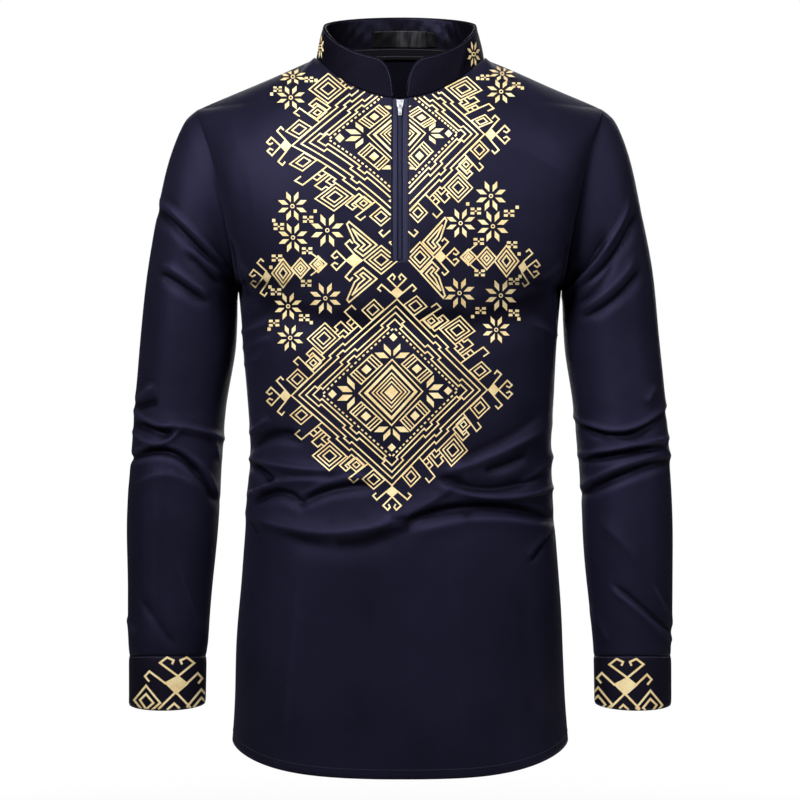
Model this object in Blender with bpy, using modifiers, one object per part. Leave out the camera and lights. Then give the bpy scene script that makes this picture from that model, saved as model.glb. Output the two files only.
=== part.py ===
"""A long-sleeved dashiki tunic shirt with a stand collar and an exposed quarter zip.

Metres, +Z up.  The front faces -Y and the wearer's left sleeve is on the +X side.
The origin is the middle of the neck, level with the side neck points, where the
wearer's shoulders and neck carry the shirt.

Each cloth piece is a wall between an outer surface, worked out from the garment's
sizes, and a copy of it moved inwards.  Pieces that are sewn together share the
points along their seam and stop half a seam gap short of it on each side.
"""
import math

import bmesh
import bpy
import numpy as np

# ---------------------------------------------------------------- driving sizes
CLOTH = 0.0012            # wall of the shirt cloth
TRIM = 0.0010             # wall of facing, tapes and label
SEAM_GAP = 0.0003         # between two pieces along a seam
SHARP_ANGLE = math.radians(50)

SHOULDER_X = 0.2160       # shoulder point, where the sleeve cap starts
SHOULDER_Z = -0.0516
ARMPIT_Z = -0.2410
ARMHOLE_FRONT = 0.0580    # how far the armhole reaches forwards and backwards
ARMHOLE_BACK = 0.0650

NECK_X = 0.0900           # neck seam: half width, and reach to the front and back
NECK_FRONT = 0.0720
NECK_BACK = 0.0620
NECK_FRONT_DROP = 0.0480
NECK_BACK_RISE = 0.0120

HEM_Z = -0.7460           # level hem, lifting into the side seams
HEM_SIDE_LIFT = 0.0185
HEM_SIDE_POWER = 3.8

CHEST_ROUNDING = 2.4      # power of the torso's plan curve, 2 is an ellipse
SHOULDER_ROLL = 0.0850    # height over which a panel rolls over to the shoulder seam
THROAT_ROLL = 0.1500      # the same below the neck seam, at the centre

SIDE_NECK_EASE = -0.0140  # upper edge's eased height at the side of the neck
FRONT_NECK_EASE = -0.0260 # and how much further it goes at the centre front and back
BACK_NECK_EASE = 0.0080

SLOT_HALF = 0.0080        # half width of the zip slot in the front
ZIP_ROW_FROM_TOP = 1      # rows below the roll where the slot ends

COLLAR_TOP_X = 0.0815     # upper edge of the collar: half width, front and back reach
COLLAR_TOP_FRONT = 0.0660
COLLAR_TOP_BACK = 0.0580
COLLAR_TOP_SIDE_Z = 0.0380
COLLAR_TOP_FRONT_DROP = 0.0450
COLLAR_TOP_BACK_RISE = 0.0180
COLLAR_CORNER_X = 0.0310  # where the rounded front corner starts
COLLAR_CORNER_POWER = 2.4
COLLAR_CORNER_LEAST = 0.14            # share of the height left at the slot
COLLAR_CORNER_STEPS = [0.65, 0.35, 0.12]
FACING_LOW = 0.02                     # shares of the collar's height that its facing covers
FACING_HIGH = 0.975
COLLAR_FRONT_POWER = 1.25             # how the upper edge falls to the front

# Strips inside the back of the neck: ends in x, and shares of the collar's height.
INSIDE_NECK = {
    "neck_tape": dict(x1=-0.0740, x2=0.0740, low=0.01, high=0.235),
    "neck_label": dict(x1=-0.0320, x2=0.0320, low=0.25, high=0.66),
    "size_tab": dict(x1=0.0323, x2=0.0430, low=0.27, high=0.64),
}

CUFF_TOP_Z = -0.6337
CUFF_BOTTOM_Z = -0.6830
CUFF_FORWARDS = 0.0050          # how far the cuff leans to the front and outwards
CUFF_OUTWARDS = 0.0002
CUFF_EASE = 1.006               # size beside the sleeve's last ring
CUFF_TAPER = 0.008

# Torso: half width, and reach to the front and back, at each height.
TORSO = [
    dict(z=-0.780, half=0.1840, front=0.1180, back=0.1210),
    dict(z=-0.700, half=0.1790, front=0.1180, back=0.1210),
    dict(z=-0.620, half=0.1750, front=0.1160, back=0.1170),
    dict(z=-0.540, half=0.1695, front=0.1130, back=0.1040),
    dict(z=-0.470, half=0.1640, front=0.1100, back=0.0920),
    dict(z=-0.410, half=0.1612, front=0.1090, back=0.0850),
    dict(z=-0.350, half=0.1645, front=0.1120, back=0.0870),
    dict(z=-0.290, half=0.1688, front=0.1180, back=0.0960),
    dict(z=-0.241, half=0.1738, front=0.1215, back=0.1040),
    dict(z=-0.184, half=0.1800, front=0.1210, back=0.1100),
    dict(z=-0.141, half=0.1880, front=0.1170, back=0.1110),
    dict(z=-0.099, half=0.1985, front=0.1080, back=0.1070),
    dict(z=-0.0516, half=0.2160, front=0.0940, back=0.0960),
    dict(z=0.020, half=0.2340, front=0.0800, back=0.0800),
]

# Sleeve rings from the armhole to the cuff seam: the outermost and innermost point
# of each ring, its half depth, how far its middle lies behind the origin, and how
# much its front edge is lifted.
SLEEVE = [
    dict(at=0.00, out_x=0.2160, out_z=-0.0516, in_x=0.1738, in_z=-0.2410, deep=0.0615, y=0.0035, lift=0.000),
    dict(at=0.05, out_x=0.2305, out_z=-0.0670, in_x=0.1743, in_z=-0.2440, deep=0.0620, y=0.0030, lift=0.000),
    dict(at=0.12, out_x=0.2460, out_z=-0.1060, in_x=0.1749, in_z=-0.2500, deep=0.0620, y=0.0020, lift=0.000),
    dict(at=0.20, out_x=0.2580, out_z=-0.1570, in_x=0.1754, in_z=-0.2620, deep=0.0605, y=0.0010, lift=0.000),
    dict(at=0.30, out_x=0.2690, out_z=-0.2200, in_x=0.1760, in_z=-0.2820, deep=0.0585, y=0.0000, lift=0.000),
    dict(at=0.40, out_x=0.2765, out_z=-0.2850, in_x=0.1782, in_z=-0.3140, deep=0.0565, y=-0.0020, lift=0.001),
    dict(at=0.52, out_x=0.2835, out_z=-0.3600, in_x=0.1872, in_z=-0.3710, deep=0.0540, y=-0.0060, lift=0.002),
    dict(at=0.64, out_x=0.2880, out_z=-0.4300, in_x=0.1926, in_z=-0.4340, deep=0.0505, y=-0.0130, lift=0.003),
    dict(at=0.76, out_x=0.2916, out_z=-0.5000, in_x=0.1962, in_z=-0.5020, deep=0.0475, y=-0.0210, lift=0.004),
    dict(at=0.88, out_x=0.2898, out_z=-0.5680, in_x=0.2020, in_z=-0.5690, deep=0.0440, y=-0.0290, lift=0.006),
    dict(at=1.00, out_x=0.2872, out_z=-0.6337, in_x=0.2070, in_z=-0.6337, deep=0.0400, y=-0.0370, lift=0.0074),
]

# Large folds of each panel, as soft ridges (height > 0) and troughs (height < 0) along
# a line seen from the front.  "bow" lifts the middle of the line, "wide" is the
# half width across it.
FOLDS_FRONT = [
    dict(x1=-0.165, z1=-0.478, x2=0.110, z2=-0.452, bow=-0.034, wide=0.013, height=0.0045),
    dict(x1=-0.160, z1=-0.500, x2=0.060, z2=-0.486, bow=-0.030, wide=0.012, height=-0.0040),
    dict(x1=-0.160, z1=-0.398, x2=-0.118, z2=-0.440, bow=0.004, wide=0.011, height=0.0040),
    dict(x1=-0.162, z1=-0.436, x2=-0.098, z2=-0.448, bow=-0.004, wide=0.010, height=-0.0038),
    dict(x1=0.040, z1=-0.448, x2=0.162, z2=-0.436, bow=-0.006, wide=0.012, height=0.0045),
    dict(x1=0.050, z1=-0.462, x2=0.160, z2=-0.462, bow=-0.007, wide=0.011, height=-0.0042),
    dict(x1=0.155, z1=-0.478, x2=0.120, z2=-0.508, bow=0.003, wide=0.010, height=0.0030),
    dict(x1=-0.150, z1=-0.285, x2=0.000, z2=-0.305, bow=-0.010, wide=0.026, height=-0.0035),
    dict(x1=0.150, z1=-0.285, x2=0.000, z2=-0.305, bow=-0.010, wide=0.026, height=-0.0035),
]
FOLDS_BACK = [
    dict(x1=-0.160, z1=-0.395, x2=0.120, z2=-0.372, bow=-0.020, wide=0.014, height=0.0045),
    dict(x1=-0.120, z1=-0.425, x2=0.162, z2=-0.410, bow=-0.022, wide=0.013, height=-0.0045),
    dict(x1=-0.162, z1=-0.445, x2=0.090, z2=-0.452, bow=-0.018, wide=0.013, height=0.0050),
    dict(x1=-0.060, z1=-0.492, x2=0.165, z2=-0.470, bow=-0.016, wide=0.014, height=-0.0040),
    dict(x1=-0.170, z1=-0.200, x2=-0.070, z2=-0.270, bow=0.010, wide=0.018, height=-0.0040),
    dict(x1=0.172, z1=-0.195, x2=0.080, z2=-0.265, bow=0.010, wide=0.018, height=-0.0040),
]
# The two sleeves crease differently.
FOLDS_SLEEVE_RIGHT = [
    dict(x1=-0.285, z1=-0.376, x2=-0.190, z2=-0.402, bow=0.004, wide=0.011, height=-0.0045),
    dict(x1=-0.290, z1=-0.396, x2=-0.195, z2=-0.420, bow=0.006, wide=0.010, height=0.0040),
    dict(x1=-0.292, z1=-0.432, x2=-0.200, z2=-0.466, bow=0.012, wide=0.011, height=-0.0042),
    dict(x1=-0.290, z1=-0.455, x2=-0.205, z2=-0.492, bow=0.008, wide=0.012, height=0.0030),
    dict(x1=-0.250, z1=-0.150, x2=-0.188, z2=-0.216, bow=-0.004, wide=0.013, height=-0.0040),
    dict(x1=-0.252, z1=-0.215, x2=-0.206, z2=-0.250, bow=-0.003, wide=0.013, height=-0.0030),
]
FOLDS_SLEEVE_LEFT = [
    dict(x1=0.190, z1=-0.388, x2=0.286, z2=-0.370, bow=-0.010, wide=0.011, height=-0.0045),
    dict(x1=0.192, z1=-0.412, x2=0.290, z2=-0.400, bow=-0.004, wide=0.010, height=0.0042),
    dict(x1=0.196, z1=-0.452, x2=0.292, z2=-0.436, bow=-0.006, wide=0.011, height=-0.0042),
    dict(x1=0.200, z1=-0.474, x2=0.292, z2=-0.455, bow=-0.005, wide=0.011, height=0.0030),
    dict(x1=0.245, z1=-0.160, x2=0.182, z2=-0.246, bow=-0.004, wide=0.013, height=-0.0040),
    dict(x1=0.250, z1=-0.226, x2=0.200, z2=-0.268, bow=-0.003, wide=0.013, height=-0.0030),
]

# Rows of the torso panels, by height at the side seam, and how many between them.
SKIRT_TOP_Z = -0.560
WAIST_TOP_Z = -0.360
SKIRT_ROWS = 5
WAIST_ROWS = 12
CHEST_ROWS = 4
ARMHOLE_ROWS = 5
ROLL_ROWS = 6
NECK_COLUMNS = 5
SHOULDER_COLUMNS = 7
SLEEVE_RINGS = [0.03, 0.06, 0.09, 0.13, 0.17, 0.22, 0.27, 0.33, 0.39, 0.45, 0.51, 0.545,
                0.58, 0.61, 0.64, 0.67, 0.70, 0.73, 0.78, 0.84, 0.90, 0.95, 1.0]
COLLAR_ROWS = 3
CUFF_ROWS = 2

# ---------------------------------------------------------------- zip sizes
COIL_HALF = 0.0022
COIL_BEHIND = -0.0004               # from the front's inner surface, backwards
COIL_THICK = 0.0014
TAPE_INNER = 0.0026
TAPE_BEHIND = 0.0005                # from the front's inner surface
TAPE_OUTER = 0.0160
ZIP_TOP_SHARE = 0.06                # how far below the neck seam the tapes end, in rows

SLIDER_LENGTH = 0.0085
SLIDER_HALF_TOP = 0.0038
SLIDER_HALF_FOOT = 0.0027
SLIDER_PLATE = 0.0010
SLIDER_PLATE_LEVEL = -0.0001        # middle of the front plate, from the cloth's surface
SLIDER_BACK_LEVEL = 0.0041
SLIDER_BACK_HALF = 0.0021
SLIDER_BACK_LENGTH = 0.0077
SLIDER_ROUNDING = 0.0003
SLIDER_POST_HALF = 0.0012
SLIDER_POST_LENGTH = 0.0018
SLIDER_POST_DOWN = 0.0006
SLIDER_TOP_BELOW_NECK = 0.0020
BAIL_HALF = 0.0007
BAIL_RISE = 0.0027
BAIL_SINK = 0.0003                  # how deep the bail's feet sit in the plate
BAIL_WALL = 0.0006
BAIL_LENGTH = 0.0032
BAIL_DOWN = -0.0016
TAB_LENGTH = 0.0125
TAB_HALF_TOP = 0.0024
TAB_HALF_FOOT = 0.0017
TAB_THICK = 0.0008
TAB_BAR = 0.0008                    # height of the eye's upper bar
TAB_EYE = 0.0030                    # height of the eye
TAB_ARM = 0.0009
TAB_RING_HOLE = 0.0008

# Colour, roughness and metallic value of each piece.
NAVY = (0.014, 0.013, 0.026)
BLACK = (0.008, 0.008, 0.012)
SILVER = (0.60, 0.61, 0.64)
FINISHES = {
    "front": (NAVY, 0.50, 0.0),
    "back": (NAVY, 0.50, 0.0),
    "sleeve_left": (NAVY, 0.50, 0.0),
    "sleeve_right": (NAVY, 0.50, 0.0),
    "cuff_left": (NAVY, 0.50, 0.0),
    "cuff_right": (NAVY, 0.50, 0.0),
    "collar_stand": (NAVY, 0.50, 0.0),
    "collar_facing": (BLACK, 0.35, 0.0),
    "neck_tape": (BLACK, 0.60, 0.0),
    "neck_label": (BLACK, 0.35, 0.0),
    "size_tab": (BLACK, 0.45, 0.0),
    "zip_tape_left": ((0.030, 0.030, 0.065), 0.80, 0.0),
    "zip_tape_right": ((0.030, 0.030, 0.065), 0.80, 0.0),
    "zip_coil": ((0.022, 0.023, 0.050), 0.45, 0.0),
    "zip_slider": (SILVER, 0.25, 1.0),
    "pull_tab": (SILVER, 0.25, 1.0),
}


def clear_scene():
    for old in list(bpy.data.objects):
        bpy.data.objects.remove(old, do_unlink=True)


def hermite(table, column, key, at):
    """Smooth value of a table's column at a place on its key column."""
    keys = [row[key] for row in table]
    values = [row[column] for row in table]
    last = len(keys) - 1
    at = min(max(at, keys[0]), keys[last])
    i = 0
    while i < last - 1 and at > keys[i + 1]:
        i += 1

    def slope(k):
        lo = max(k - 1, 0)
        hi = min(k + 1, last)
        return (values[hi] - values[lo]) / (keys[hi] - keys[lo])

    span = keys[i + 1] - keys[i]
    t = (at - keys[i]) / span
    rise = values[i + 1] - values[i]
    curve = (3 - 2 * t) * t * t * rise
    ends = (slope(i) * (t - 2 * t * t + t ** 3) + slope(i + 1) * (t ** 3 - t * t)) * span
    return values[i] + curve + ends


def smooth_step(low, high, value):
    t = min(max((value - low) / (high - low), 0.0), 1.0)
    return t * t * (3 - 2 * t)


# ---------------------------------------------------------------- torso surface
def plan_curve(s):
    """How much of the full reach a panel has at s, 0 at the centre to 1 at the side."""
    return max(1.0 - abs(s) ** CHEST_ROUNDING, 0.0) ** (1.0 / CHEST_ROUNDING)


def armhole_reach(z, reach):
    """The armhole's reach to the front or back, a half ellipse from armpit to shoulder."""
    u = (z - ARMPIT_Z) / (SHOULDER_Z - ARMPIT_Z)
    u = min(max(u, 0.0), 1.0)
    return reach * math.sqrt(max(1.0 - (2 * u - 1) ** 2, 0.0))


def neck_height(x, front):
    """Height of the neck seam at x."""
    round_off = math.sqrt(max(1.0 - (x / NECK_X) ** 2, 0.0))
    if front:
        return -NECK_FRONT_DROP * round_off ** 2
    return NECK_BACK_RISE * round_off ** 1.5


def neck_flare(x, below, front):
    """Reach of the neck's shape lower down, where it spreads out over the shoulders."""
    spread = NECK_X + (SHOULDER_X - NECK_X) * below
    inside = max(1.0 - (x / spread) ** 2, 0.0)
    return (NECK_FRONT if front else NECK_BACK) * inside ** (0.5 + below)


def top_edge_height(x, front):
    """Height of a torso panel's upper edge at x: neck seam, then shoulder seam."""
    if abs(x) <= NECK_X:
        return neck_height(x, front)
    return SHOULDER_Z * (abs(x) - NECK_X) / (SHOULDER_X - NECK_X)


def eased_height(x, front):
    """The upper edge's height without its corner at the side of the neck."""
    if abs(x) <= NECK_X:
        centre = FRONT_NECK_EASE if front else BACK_NECK_EASE
        return SIDE_NECK_EASE + centre * ((NECK_X - abs(x)) / NECK_X) ** 2
    along = (abs(x) - NECK_X) / (SHOULDER_X - NECK_X)
    return SIDE_NECK_EASE + (SHOULDER_Z - SIDE_NECK_EASE) * along ** 2


def torso_point(column, level, front):
    """Point of a torso panel.  column is (s, x or None), level is (part, fraction)."""
    s, fixed_x = column
    top_x = fixed_x if fixed_x is not None else s * SHOULDER_X
    top_z = top_edge_height(top_x, front)
    inwards = 1.0 - smooth_step(0.0, NECK_X / SHOULDER_X, abs(s))
    roll = SHOULDER_ROLL + (THROAT_ROLL - SHOULDER_ROLL) * inwards
    hem_z = HEM_Z + HEM_SIDE_LIFT * abs(s) ** HEM_SIDE_POWER
    part, fraction = level
    if part == "body":
        z = hem_z + (top_z - roll - hem_z) * fraction
    else:
        z = top_z - roll * (1.0 - math.sin(fraction * math.pi / 2))
    eased = smooth_step(0.0, 0.5, (top_z - z) / roll)
    depth = (top_z - z) * (1.0 - eased) + (eased_height(top_x, front) - z) * eased
    below = min(max(depth / roll, 0.0), 1.0)
    power = 0.5 + (0.5 if front else 0.3) * inwards
    turned = (2 * below - below * below) ** power
    half = SHOULDER_X if z > SHOULDER_Z else hermite(TORSO, "half", "z", z)
    reach = hermite(TORSO, "front" if front else "back", "z", z)
    side = armhole_reach(z, ARMHOLE_FRONT if front else ARMHOLE_BACK)
    x = fixed_x if fixed_x is not None else s * half
    out = side * (1.0 - plan_curve(s)) + reach * plan_curve(s) * turned
    y = neck_flare(top_x, below, front) * (1.0 - turned) + out
    return np.array([x, -y if front else y, z])


def torso_columns():
    """Columns of both panels from -X to +X; the middle pair edges the zip slot.

    The slot's edges and the outer edges of the zip's tapes keep a fixed x.
    """
    right = [(SLOT_HALF / SHOULDER_X, SLOT_HALF), (TAPE_OUTER / SHOULDER_X, TAPE_OUTER)]
    first = math.asin(TAPE_OUTER / NECK_X)
    for i in range(1, NECK_COLUMNS + 1):
        angle = first + (math.pi / 2 - first) * i / NECK_COLUMNS
        right.append((NECK_X / SHOULDER_X * math.sin(angle), None))
    neck_angle = math.asin(NECK_X / SHOULDER_X)
    for i in range(1, SHOULDER_COLUMNS + 1):
        angle = neck_angle + (math.pi / 2 - neck_angle) * i / SHOULDER_COLUMNS
        right.append((math.sin(angle), None))
    left = []
    for s, fixed in reversed(right):
        left.append((-s, -fixed if fixed is not None else None))
    return left + right


def torso_levels():
    """Rows from the hem to the neck and shoulder seams."""
    side_hem = HEM_Z + HEM_SIDE_LIFT
    side_roll = SHOULDER_Z - SHOULDER_ROLL
    heights = [side_hem]
    stretches = [(SKIRT_TOP_Z, SKIRT_ROWS), (WAIST_TOP_Z, WAIST_ROWS),
                 (ARMPIT_Z, CHEST_ROWS), (side_roll, ARMHOLE_ROWS)]
    for top, count in stretches:
        start = heights[-1]
        for i in range(1, count + 1):
            heights.append(start + (top - start) * i / count)
    levels = [("body", (z - side_hem) / (side_roll - side_hem)) for z in heights]
    for i in range(1, ROLL_ROWS + 1):
        levels.append(("roll", i / ROLL_ROWS))
    return levels


ARMPIT_ROW = SKIRT_ROWS + WAIST_ROWS + CHEST_ROWS
SLOT_ROW = ARMPIT_ROW + ARMHOLE_ROWS - ZIP_ROW_FROM_TOP


# ---------------------------------------------------------------- sleeve surface
def sleeve_ring(at, side):
    """The middle, half chord, half depth and lift of a sleeve's ring."""
    row = {name: hermite(SLEEVE, name, "at", at)
           for name in ("out_x", "out_z", "in_x", "in_z", "deep", "y", "lift")}
    outer = np.array([side * row["out_x"], row["y"], row["out_z"]])
    inner = np.array([side * row["in_x"], row["y"], row["in_z"]])
    return (outer + inner) / 2, (outer - inner) / 2, row["deep"], row["lift"]


def ring_point(at, side, angle):
    """Angle 0 is the outermost point, a quarter turn is the back, a half the inside."""
    middle, half_chord, deep, lift = sleeve_ring(at, side)
    across = np.array([0.0, deep, -lift]) * math.sin(angle)
    return middle + half_chord * math.cos(angle) + across


def sleeve_grid(armhole, side):
    """Rings from the shared armhole points to the cuff seam."""
    count = len(armhole)
    middle, half_chord, deep, _ = sleeve_ring(0.0, side)
    chord_length = np.dot(half_chord, half_chord)
    angles = []
    for point in armhole:
        along = np.dot(point - middle, half_chord) / chord_length
        outwards = (point[1] - middle[1]) / deep
        angles.append(math.atan2(outwards, along) % (2 * math.pi))
    shoulder = angles.index(min(angles, key=lambda a: min(a, 2 * math.pi - a)))
    even = [2 * math.pi * ((shoulder - i) % count) / count for i in range(count)]
    offset = [point - ring_point(0.0, side, a) for point, a in zip(armhole, angles)]
    grid = [list(armhole)]
    for at in SLEEVE_RINGS:
        settle = smooth_step(0.0, 0.45, at)
        keep = (1.0 - smooth_step(0.0, 0.16, at))
        ring = []
        for i in range(count):
            start = angles[i]
            if start - even[i] > math.pi:
                start -= 2 * math.pi
            if even[i] - start > math.pi:
                start += 2 * math.pi
            angle = start + (even[i] - start) * settle
            ring.append(ring_point(at, side, angle) + offset[i] * keep)
        grid.append(ring)
    return grid


# ---------------------------------------------------------------- folds and walls
def fold_height(folds, x, z):
    """Sum of the soft ridges and troughs at a place seen from the front."""
    total = 0.0
    for fold in folds:
        start = np.array([fold["x1"], fold["z1"]])
        run = np.array([fold["x2"], fold["z2"]]) - start
        length = np.linalg.norm(run)
        run = run / length
        here = np.array([x, z]) - start
        along = np.dot(here, run) / length
        arch = fold["bow"] * (1.0 - (2 * along - 1) ** 2)
        off = here[1] * run[0] - here[0] * run[1] - arch * run[0]
        fade = smooth_step(-0.12, 0.20, along) * (1.0 - smooth_step(0.80, 1.12, along))
        total += fold["height"] * fade * math.exp(-(off / fold["wide"]) ** 2)
    return total


def grid_faces(rows, columns, closed, skip):
    """Quads of a grid of points; a closed grid joins its last column to its first."""
    faces = []
    spans = columns if closed else columns - 1
    for r in range(rows - 1):
        for c in range(spans):
            if (r, c) in skip:
                continue
            d = (c + 1) % columns
            faces.append((r * columns + c, r * columns + d,
                          (r + 1) * columns + d, (r + 1) * columns + c))
    return faces


def open_edges(faces):
    """Directed edges that only one face has."""
    used = {(face[k], face[(k + 1) % 4]) for face in faces for k in range(4)}
    return [(a, b) for a, b in used if (b, a) not in used]


class Panel:
    """A grid of outer points, the side its faces look to, and its own and shared normals."""

    def __init__(self, name, grid, flip=False, closed=False, skip=(), folds=()):
        self.name = name
        self.columns = len(grid[0])
        self.points = np.array([point for row in grid for point in row])
        self.faces = grid_faces(len(grid), self.columns, closed, set(skip))
        if flip:
            self.faces = [tuple(reversed(face)) for face in self.faces]
        self.folds = folds
        self.own = self.vertex_sums()

    def vertex_sums(self):
        sums = np.zeros_like(self.points)
        for face in self.faces:
            a, b, c, d = (self.points[i] for i in face)
            normal = np.cross(c - a, d - b)
            for i in face:
                sums[i] += normal
        return sums

    def boundary(self):
        return open_edges(self.faces)

    def neighbours_inside(self, edge_points):
        """For each edge point, the average of the points next to it that aren't on an edge."""
        near = {i: [] for i in edge_points}
        for face in self.faces:
            for k in range(4):
                a, b = face[k], face[(k + 1) % 4]
                for one, other in ((a, b), (b, a)):
                    if one in near:
                        near[one].append(other)
        inner = {}
        for i, others in near.items():
            free = [o for o in others if o not in edge_points]
            inner[i] = self.points[free or others].mean(axis=0)
        return inner


def unit(vector):
    return vector / max(np.linalg.norm(vector), 1e-12)


def place_key(point):
    return tuple(int(round(value * 1e5)) for value in point)


def raise_folds(panels):
    """Move each panel's inner points along its normals by its folds; edges stay."""
    for panel in panels:
        edge = {i for pair in panel.boundary() for i in pair}
        for i in range(len(panel.points)):
            if i in edge:
                continue
            x, _, z = panel.points[i]
            panel.points[i] += unit(panel.own[i]) * fold_height(panel.folds, x, z)
        panel.own = panel.vertex_sums()


def normal_sums(panels):
    """Sum of the normals of all the panels' faces that meet at each place."""
    sums = {}
    for panel in panels:
        for point, own in zip(panel.points, panel.own):
            key = place_key(point)
            sums[key] = sums.get(key, np.zeros(3)) + own
    return sums


def build_walls(groups, collection, material):
    """Walls of the panels in each group; panels share their seams, also between groups.

    Where two groups fold back on each other, as under the arm, each keeps its own
    normal and moves away from the other instead of back along its surface.
    """
    shared = normal_sums([panel for group in groups for panel in group])
    for group in groups:
        of_group = normal_sums(group)
        for panel in group:
            edge = {i for pair in panel.boundary() for i in pair}
            inside = panel.neighbours_inside(edge)
            outer = panel.points.copy()
            rim = np.array([unit(own) for own in panel.own])
            push = np.ones(len(rim))
            for i in edge:
                key = place_key(panel.points[i])
                ours = unit(of_group[key])
                rest = shared[key] - of_group[key]
                facing = np.dot(ours, unit(rest)) if np.linalg.norm(rest) > 1e-9 else 1.0
                folded = smooth_step(0.1, 0.7, -facing)
                joint = unit(unit(shared[key]) * (1 - folded) + ours * folded)
                back_in = unit(inside[i] - panel.points[i])
                push[i] = 1.0 / max(np.dot(joint, rim[i]), 0.5)
                rim[i] = joint
                outer[i] += back_in * SEAM_GAP / 2 - ours * folded * SEAM_GAP / 2
            inner = outer - rim * (CLOTH * push)[:, None]
            add_wall(panel.name, outer, inner, panel.faces, collection, material)


def add_wall(name, outer, inner, faces, collection, material):
    """A closed solid between two like meshes."""
    count = len(outer)
    solid = list(faces)
    solid += [tuple(i + count for i in reversed(face)) for face in faces]
    solid += [(b, a, a + count, b + count) for a, b in open_edges(faces)]
    mesh = bpy.data.meshes.new(name)
    mesh.from_pydata([tuple(p) for p in np.vstack([outer, inner])], [], solid)
    used = {i for face in solid for i in face}
    clean = bmesh.new()
    clean.from_mesh(mesh)
    clean.verts.ensure_lookup_table()
    loose = [v for v in clean.verts if v.index not in used]
    bmesh.ops.delete(clean, geom=loose, context="VERTS")
    clean.to_mesh(mesh)
    clean.free()
    mesh.shade_smooth()
    mesh.set_sharp_from_angle(angle=SHARP_ANGLE)
    solid_object = bpy.data.objects.new(name, mesh)
    collection.objects.link(solid_object)
    mesh.materials.append(material[name])


# ---------------------------------------------------------------- shirt panels
def make_torso():
    """Front and back panels, their folds raised, and the armhole points of each side."""
    columns = torso_columns()
    levels = torso_levels()
    grids = {}
    for front in (True, False):
        grids[front] = [[torso_point(column, level, front) for column in columns] for level in levels]
    middle = len(columns) // 2 - 1
    slot = [(row, middle) for row in range(SLOT_ROW, len(levels) - 1)]
    front = Panel("front", grids[True], skip=slot, folds=FOLDS_FRONT)
    back = Panel("back", grids[False], flip=True, folds=FOLDS_BACK)
    armholes = {}
    for side, column in ((1, -1), (-1, 0)):
        upward = [row[column] for row in grids[False][ARMPIT_ROW:]]
        downward = [row[column] for row in reversed(grids[True][ARMPIT_ROW + 1:-1])]
        armholes[side] = upward + downward
    neck = [p for p in grids[True][-1] if abs(p[0]) <= NECK_X + 1e-6]
    nape = [p for p in grids[False][-1] if abs(p[0]) <= NECK_X + 1e-6]
    half = len(neck) // 2
    seam = list(reversed(neck[:half])) + nape[1:-1] + list(reversed(neck[half:]))
    return front, back, armholes, seam


def make_sleeves(armholes):
    sleeves = []
    for side, name, folds in ((1, "sleeve_left", FOLDS_SLEEVE_LEFT),
                              (-1, "sleeve_right", FOLDS_SLEEVE_RIGHT)):
        grid = sleeve_grid(armholes[side], side)
        sleeves.append(Panel(name, grid, flip=side < 0, closed=True, folds=folds))
    return sleeves


def make_cuffs(sleeves, collection, material):
    """A band below each sleeve, its upper edge on the sleeve's last ring."""
    for sleeve, side, name in zip(sleeves, (1, -1), ("cuff_left", "cuff_right")):
        top = sleeve.points[-sleeve.columns:]
        middle = top.mean(axis=0)
        rows = []
        for r in range(CUFF_ROWS + 1):
            down = r / CUFF_ROWS
            drop = np.array([side * CUFF_OUTWARDS, -CUFF_FORWARDS, CUFF_BOTTOM_Z - CUFF_TOP_Z]) * down
            size = CUFF_EASE - CUFF_TAPER * down
            ease = np.array([size, size, 1.0 - down])
            rows.append([middle + (p - middle) * ease + drop for p in top])
        rows[0] = [p - np.array([0.0, 0.0, SEAM_GAP]) for p in rows[0]]
        band = Panel(name, rows, flip=side < 0, closed=True)
        normals = np.array([unit(own) for own in band.own])
        normals[:, 2] = 0.0
        normals = np.array([unit(n) for n in normals])
        inner = band.points - normals * CLOTH
        add_wall(name, band.points, inner, band.faces, collection, material)


# ---------------------------------------------------------------- collar
def collar_top(base):
    """The collar's upper edge above a point of the neck seam."""
    angle = math.atan2(base[0] / NECK_X, base[1] / (NECK_BACK if base[1] > 0 else NECK_FRONT))
    back = math.cos(angle)
    x = COLLAR_TOP_X * math.sin(angle)
    if back > 0:
        y = COLLAR_TOP_BACK * back
        z = COLLAR_TOP_SIDE_Z + COLLAR_TOP_BACK_RISE * back
    else:
        y = COLLAR_TOP_FRONT * back
        z = COLLAR_TOP_SIDE_Z - COLLAR_TOP_FRONT_DROP * abs(back) ** COLLAR_FRONT_POWER
    return np.array([x, y, z])


def corner_share(base):
    """How much of the collar's height is left at its rounded front corners."""
    if base[1] > 0 or abs(base[0]) > COLLAR_CORNER_X:
        return 1.0
    run = min((COLLAR_CORNER_X - abs(base[0])) / (COLLAR_CORNER_X - SLOT_HALF), 1.0)
    rounded = max(1.0 - run ** COLLAR_CORNER_POWER, 0.0) ** (1.0 / COLLAR_CORNER_POWER)
    return COLLAR_CORNER_LEAST + (1.0 - COLLAR_CORNER_LEAST) * rounded


def collar_stations(seam):
    """Base, top and outward direction at each point of the neck seam."""
    line = list(seam)
    for share in COLLAR_CORNER_STEPS:
        line.insert(-1, seam[-1] + (seam[-2] - seam[-1]) * share)
        line.insert(1, seam[0] + (seam[1] - seam[0]) * share)
    stations = []
    for point in line:
        base = point + np.array([0.0, 0.0, SEAM_GAP])
        top = base + (collar_top(point) - point) * corner_share(point)
        reach = NECK_BACK if point[1] > 0 else NECK_FRONT
        out = unit(np.array([point[0] / NECK_X ** 2, point[1] / reach ** 2, 0.0]))
        stations.append((base, top, out))
    return stations


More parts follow.
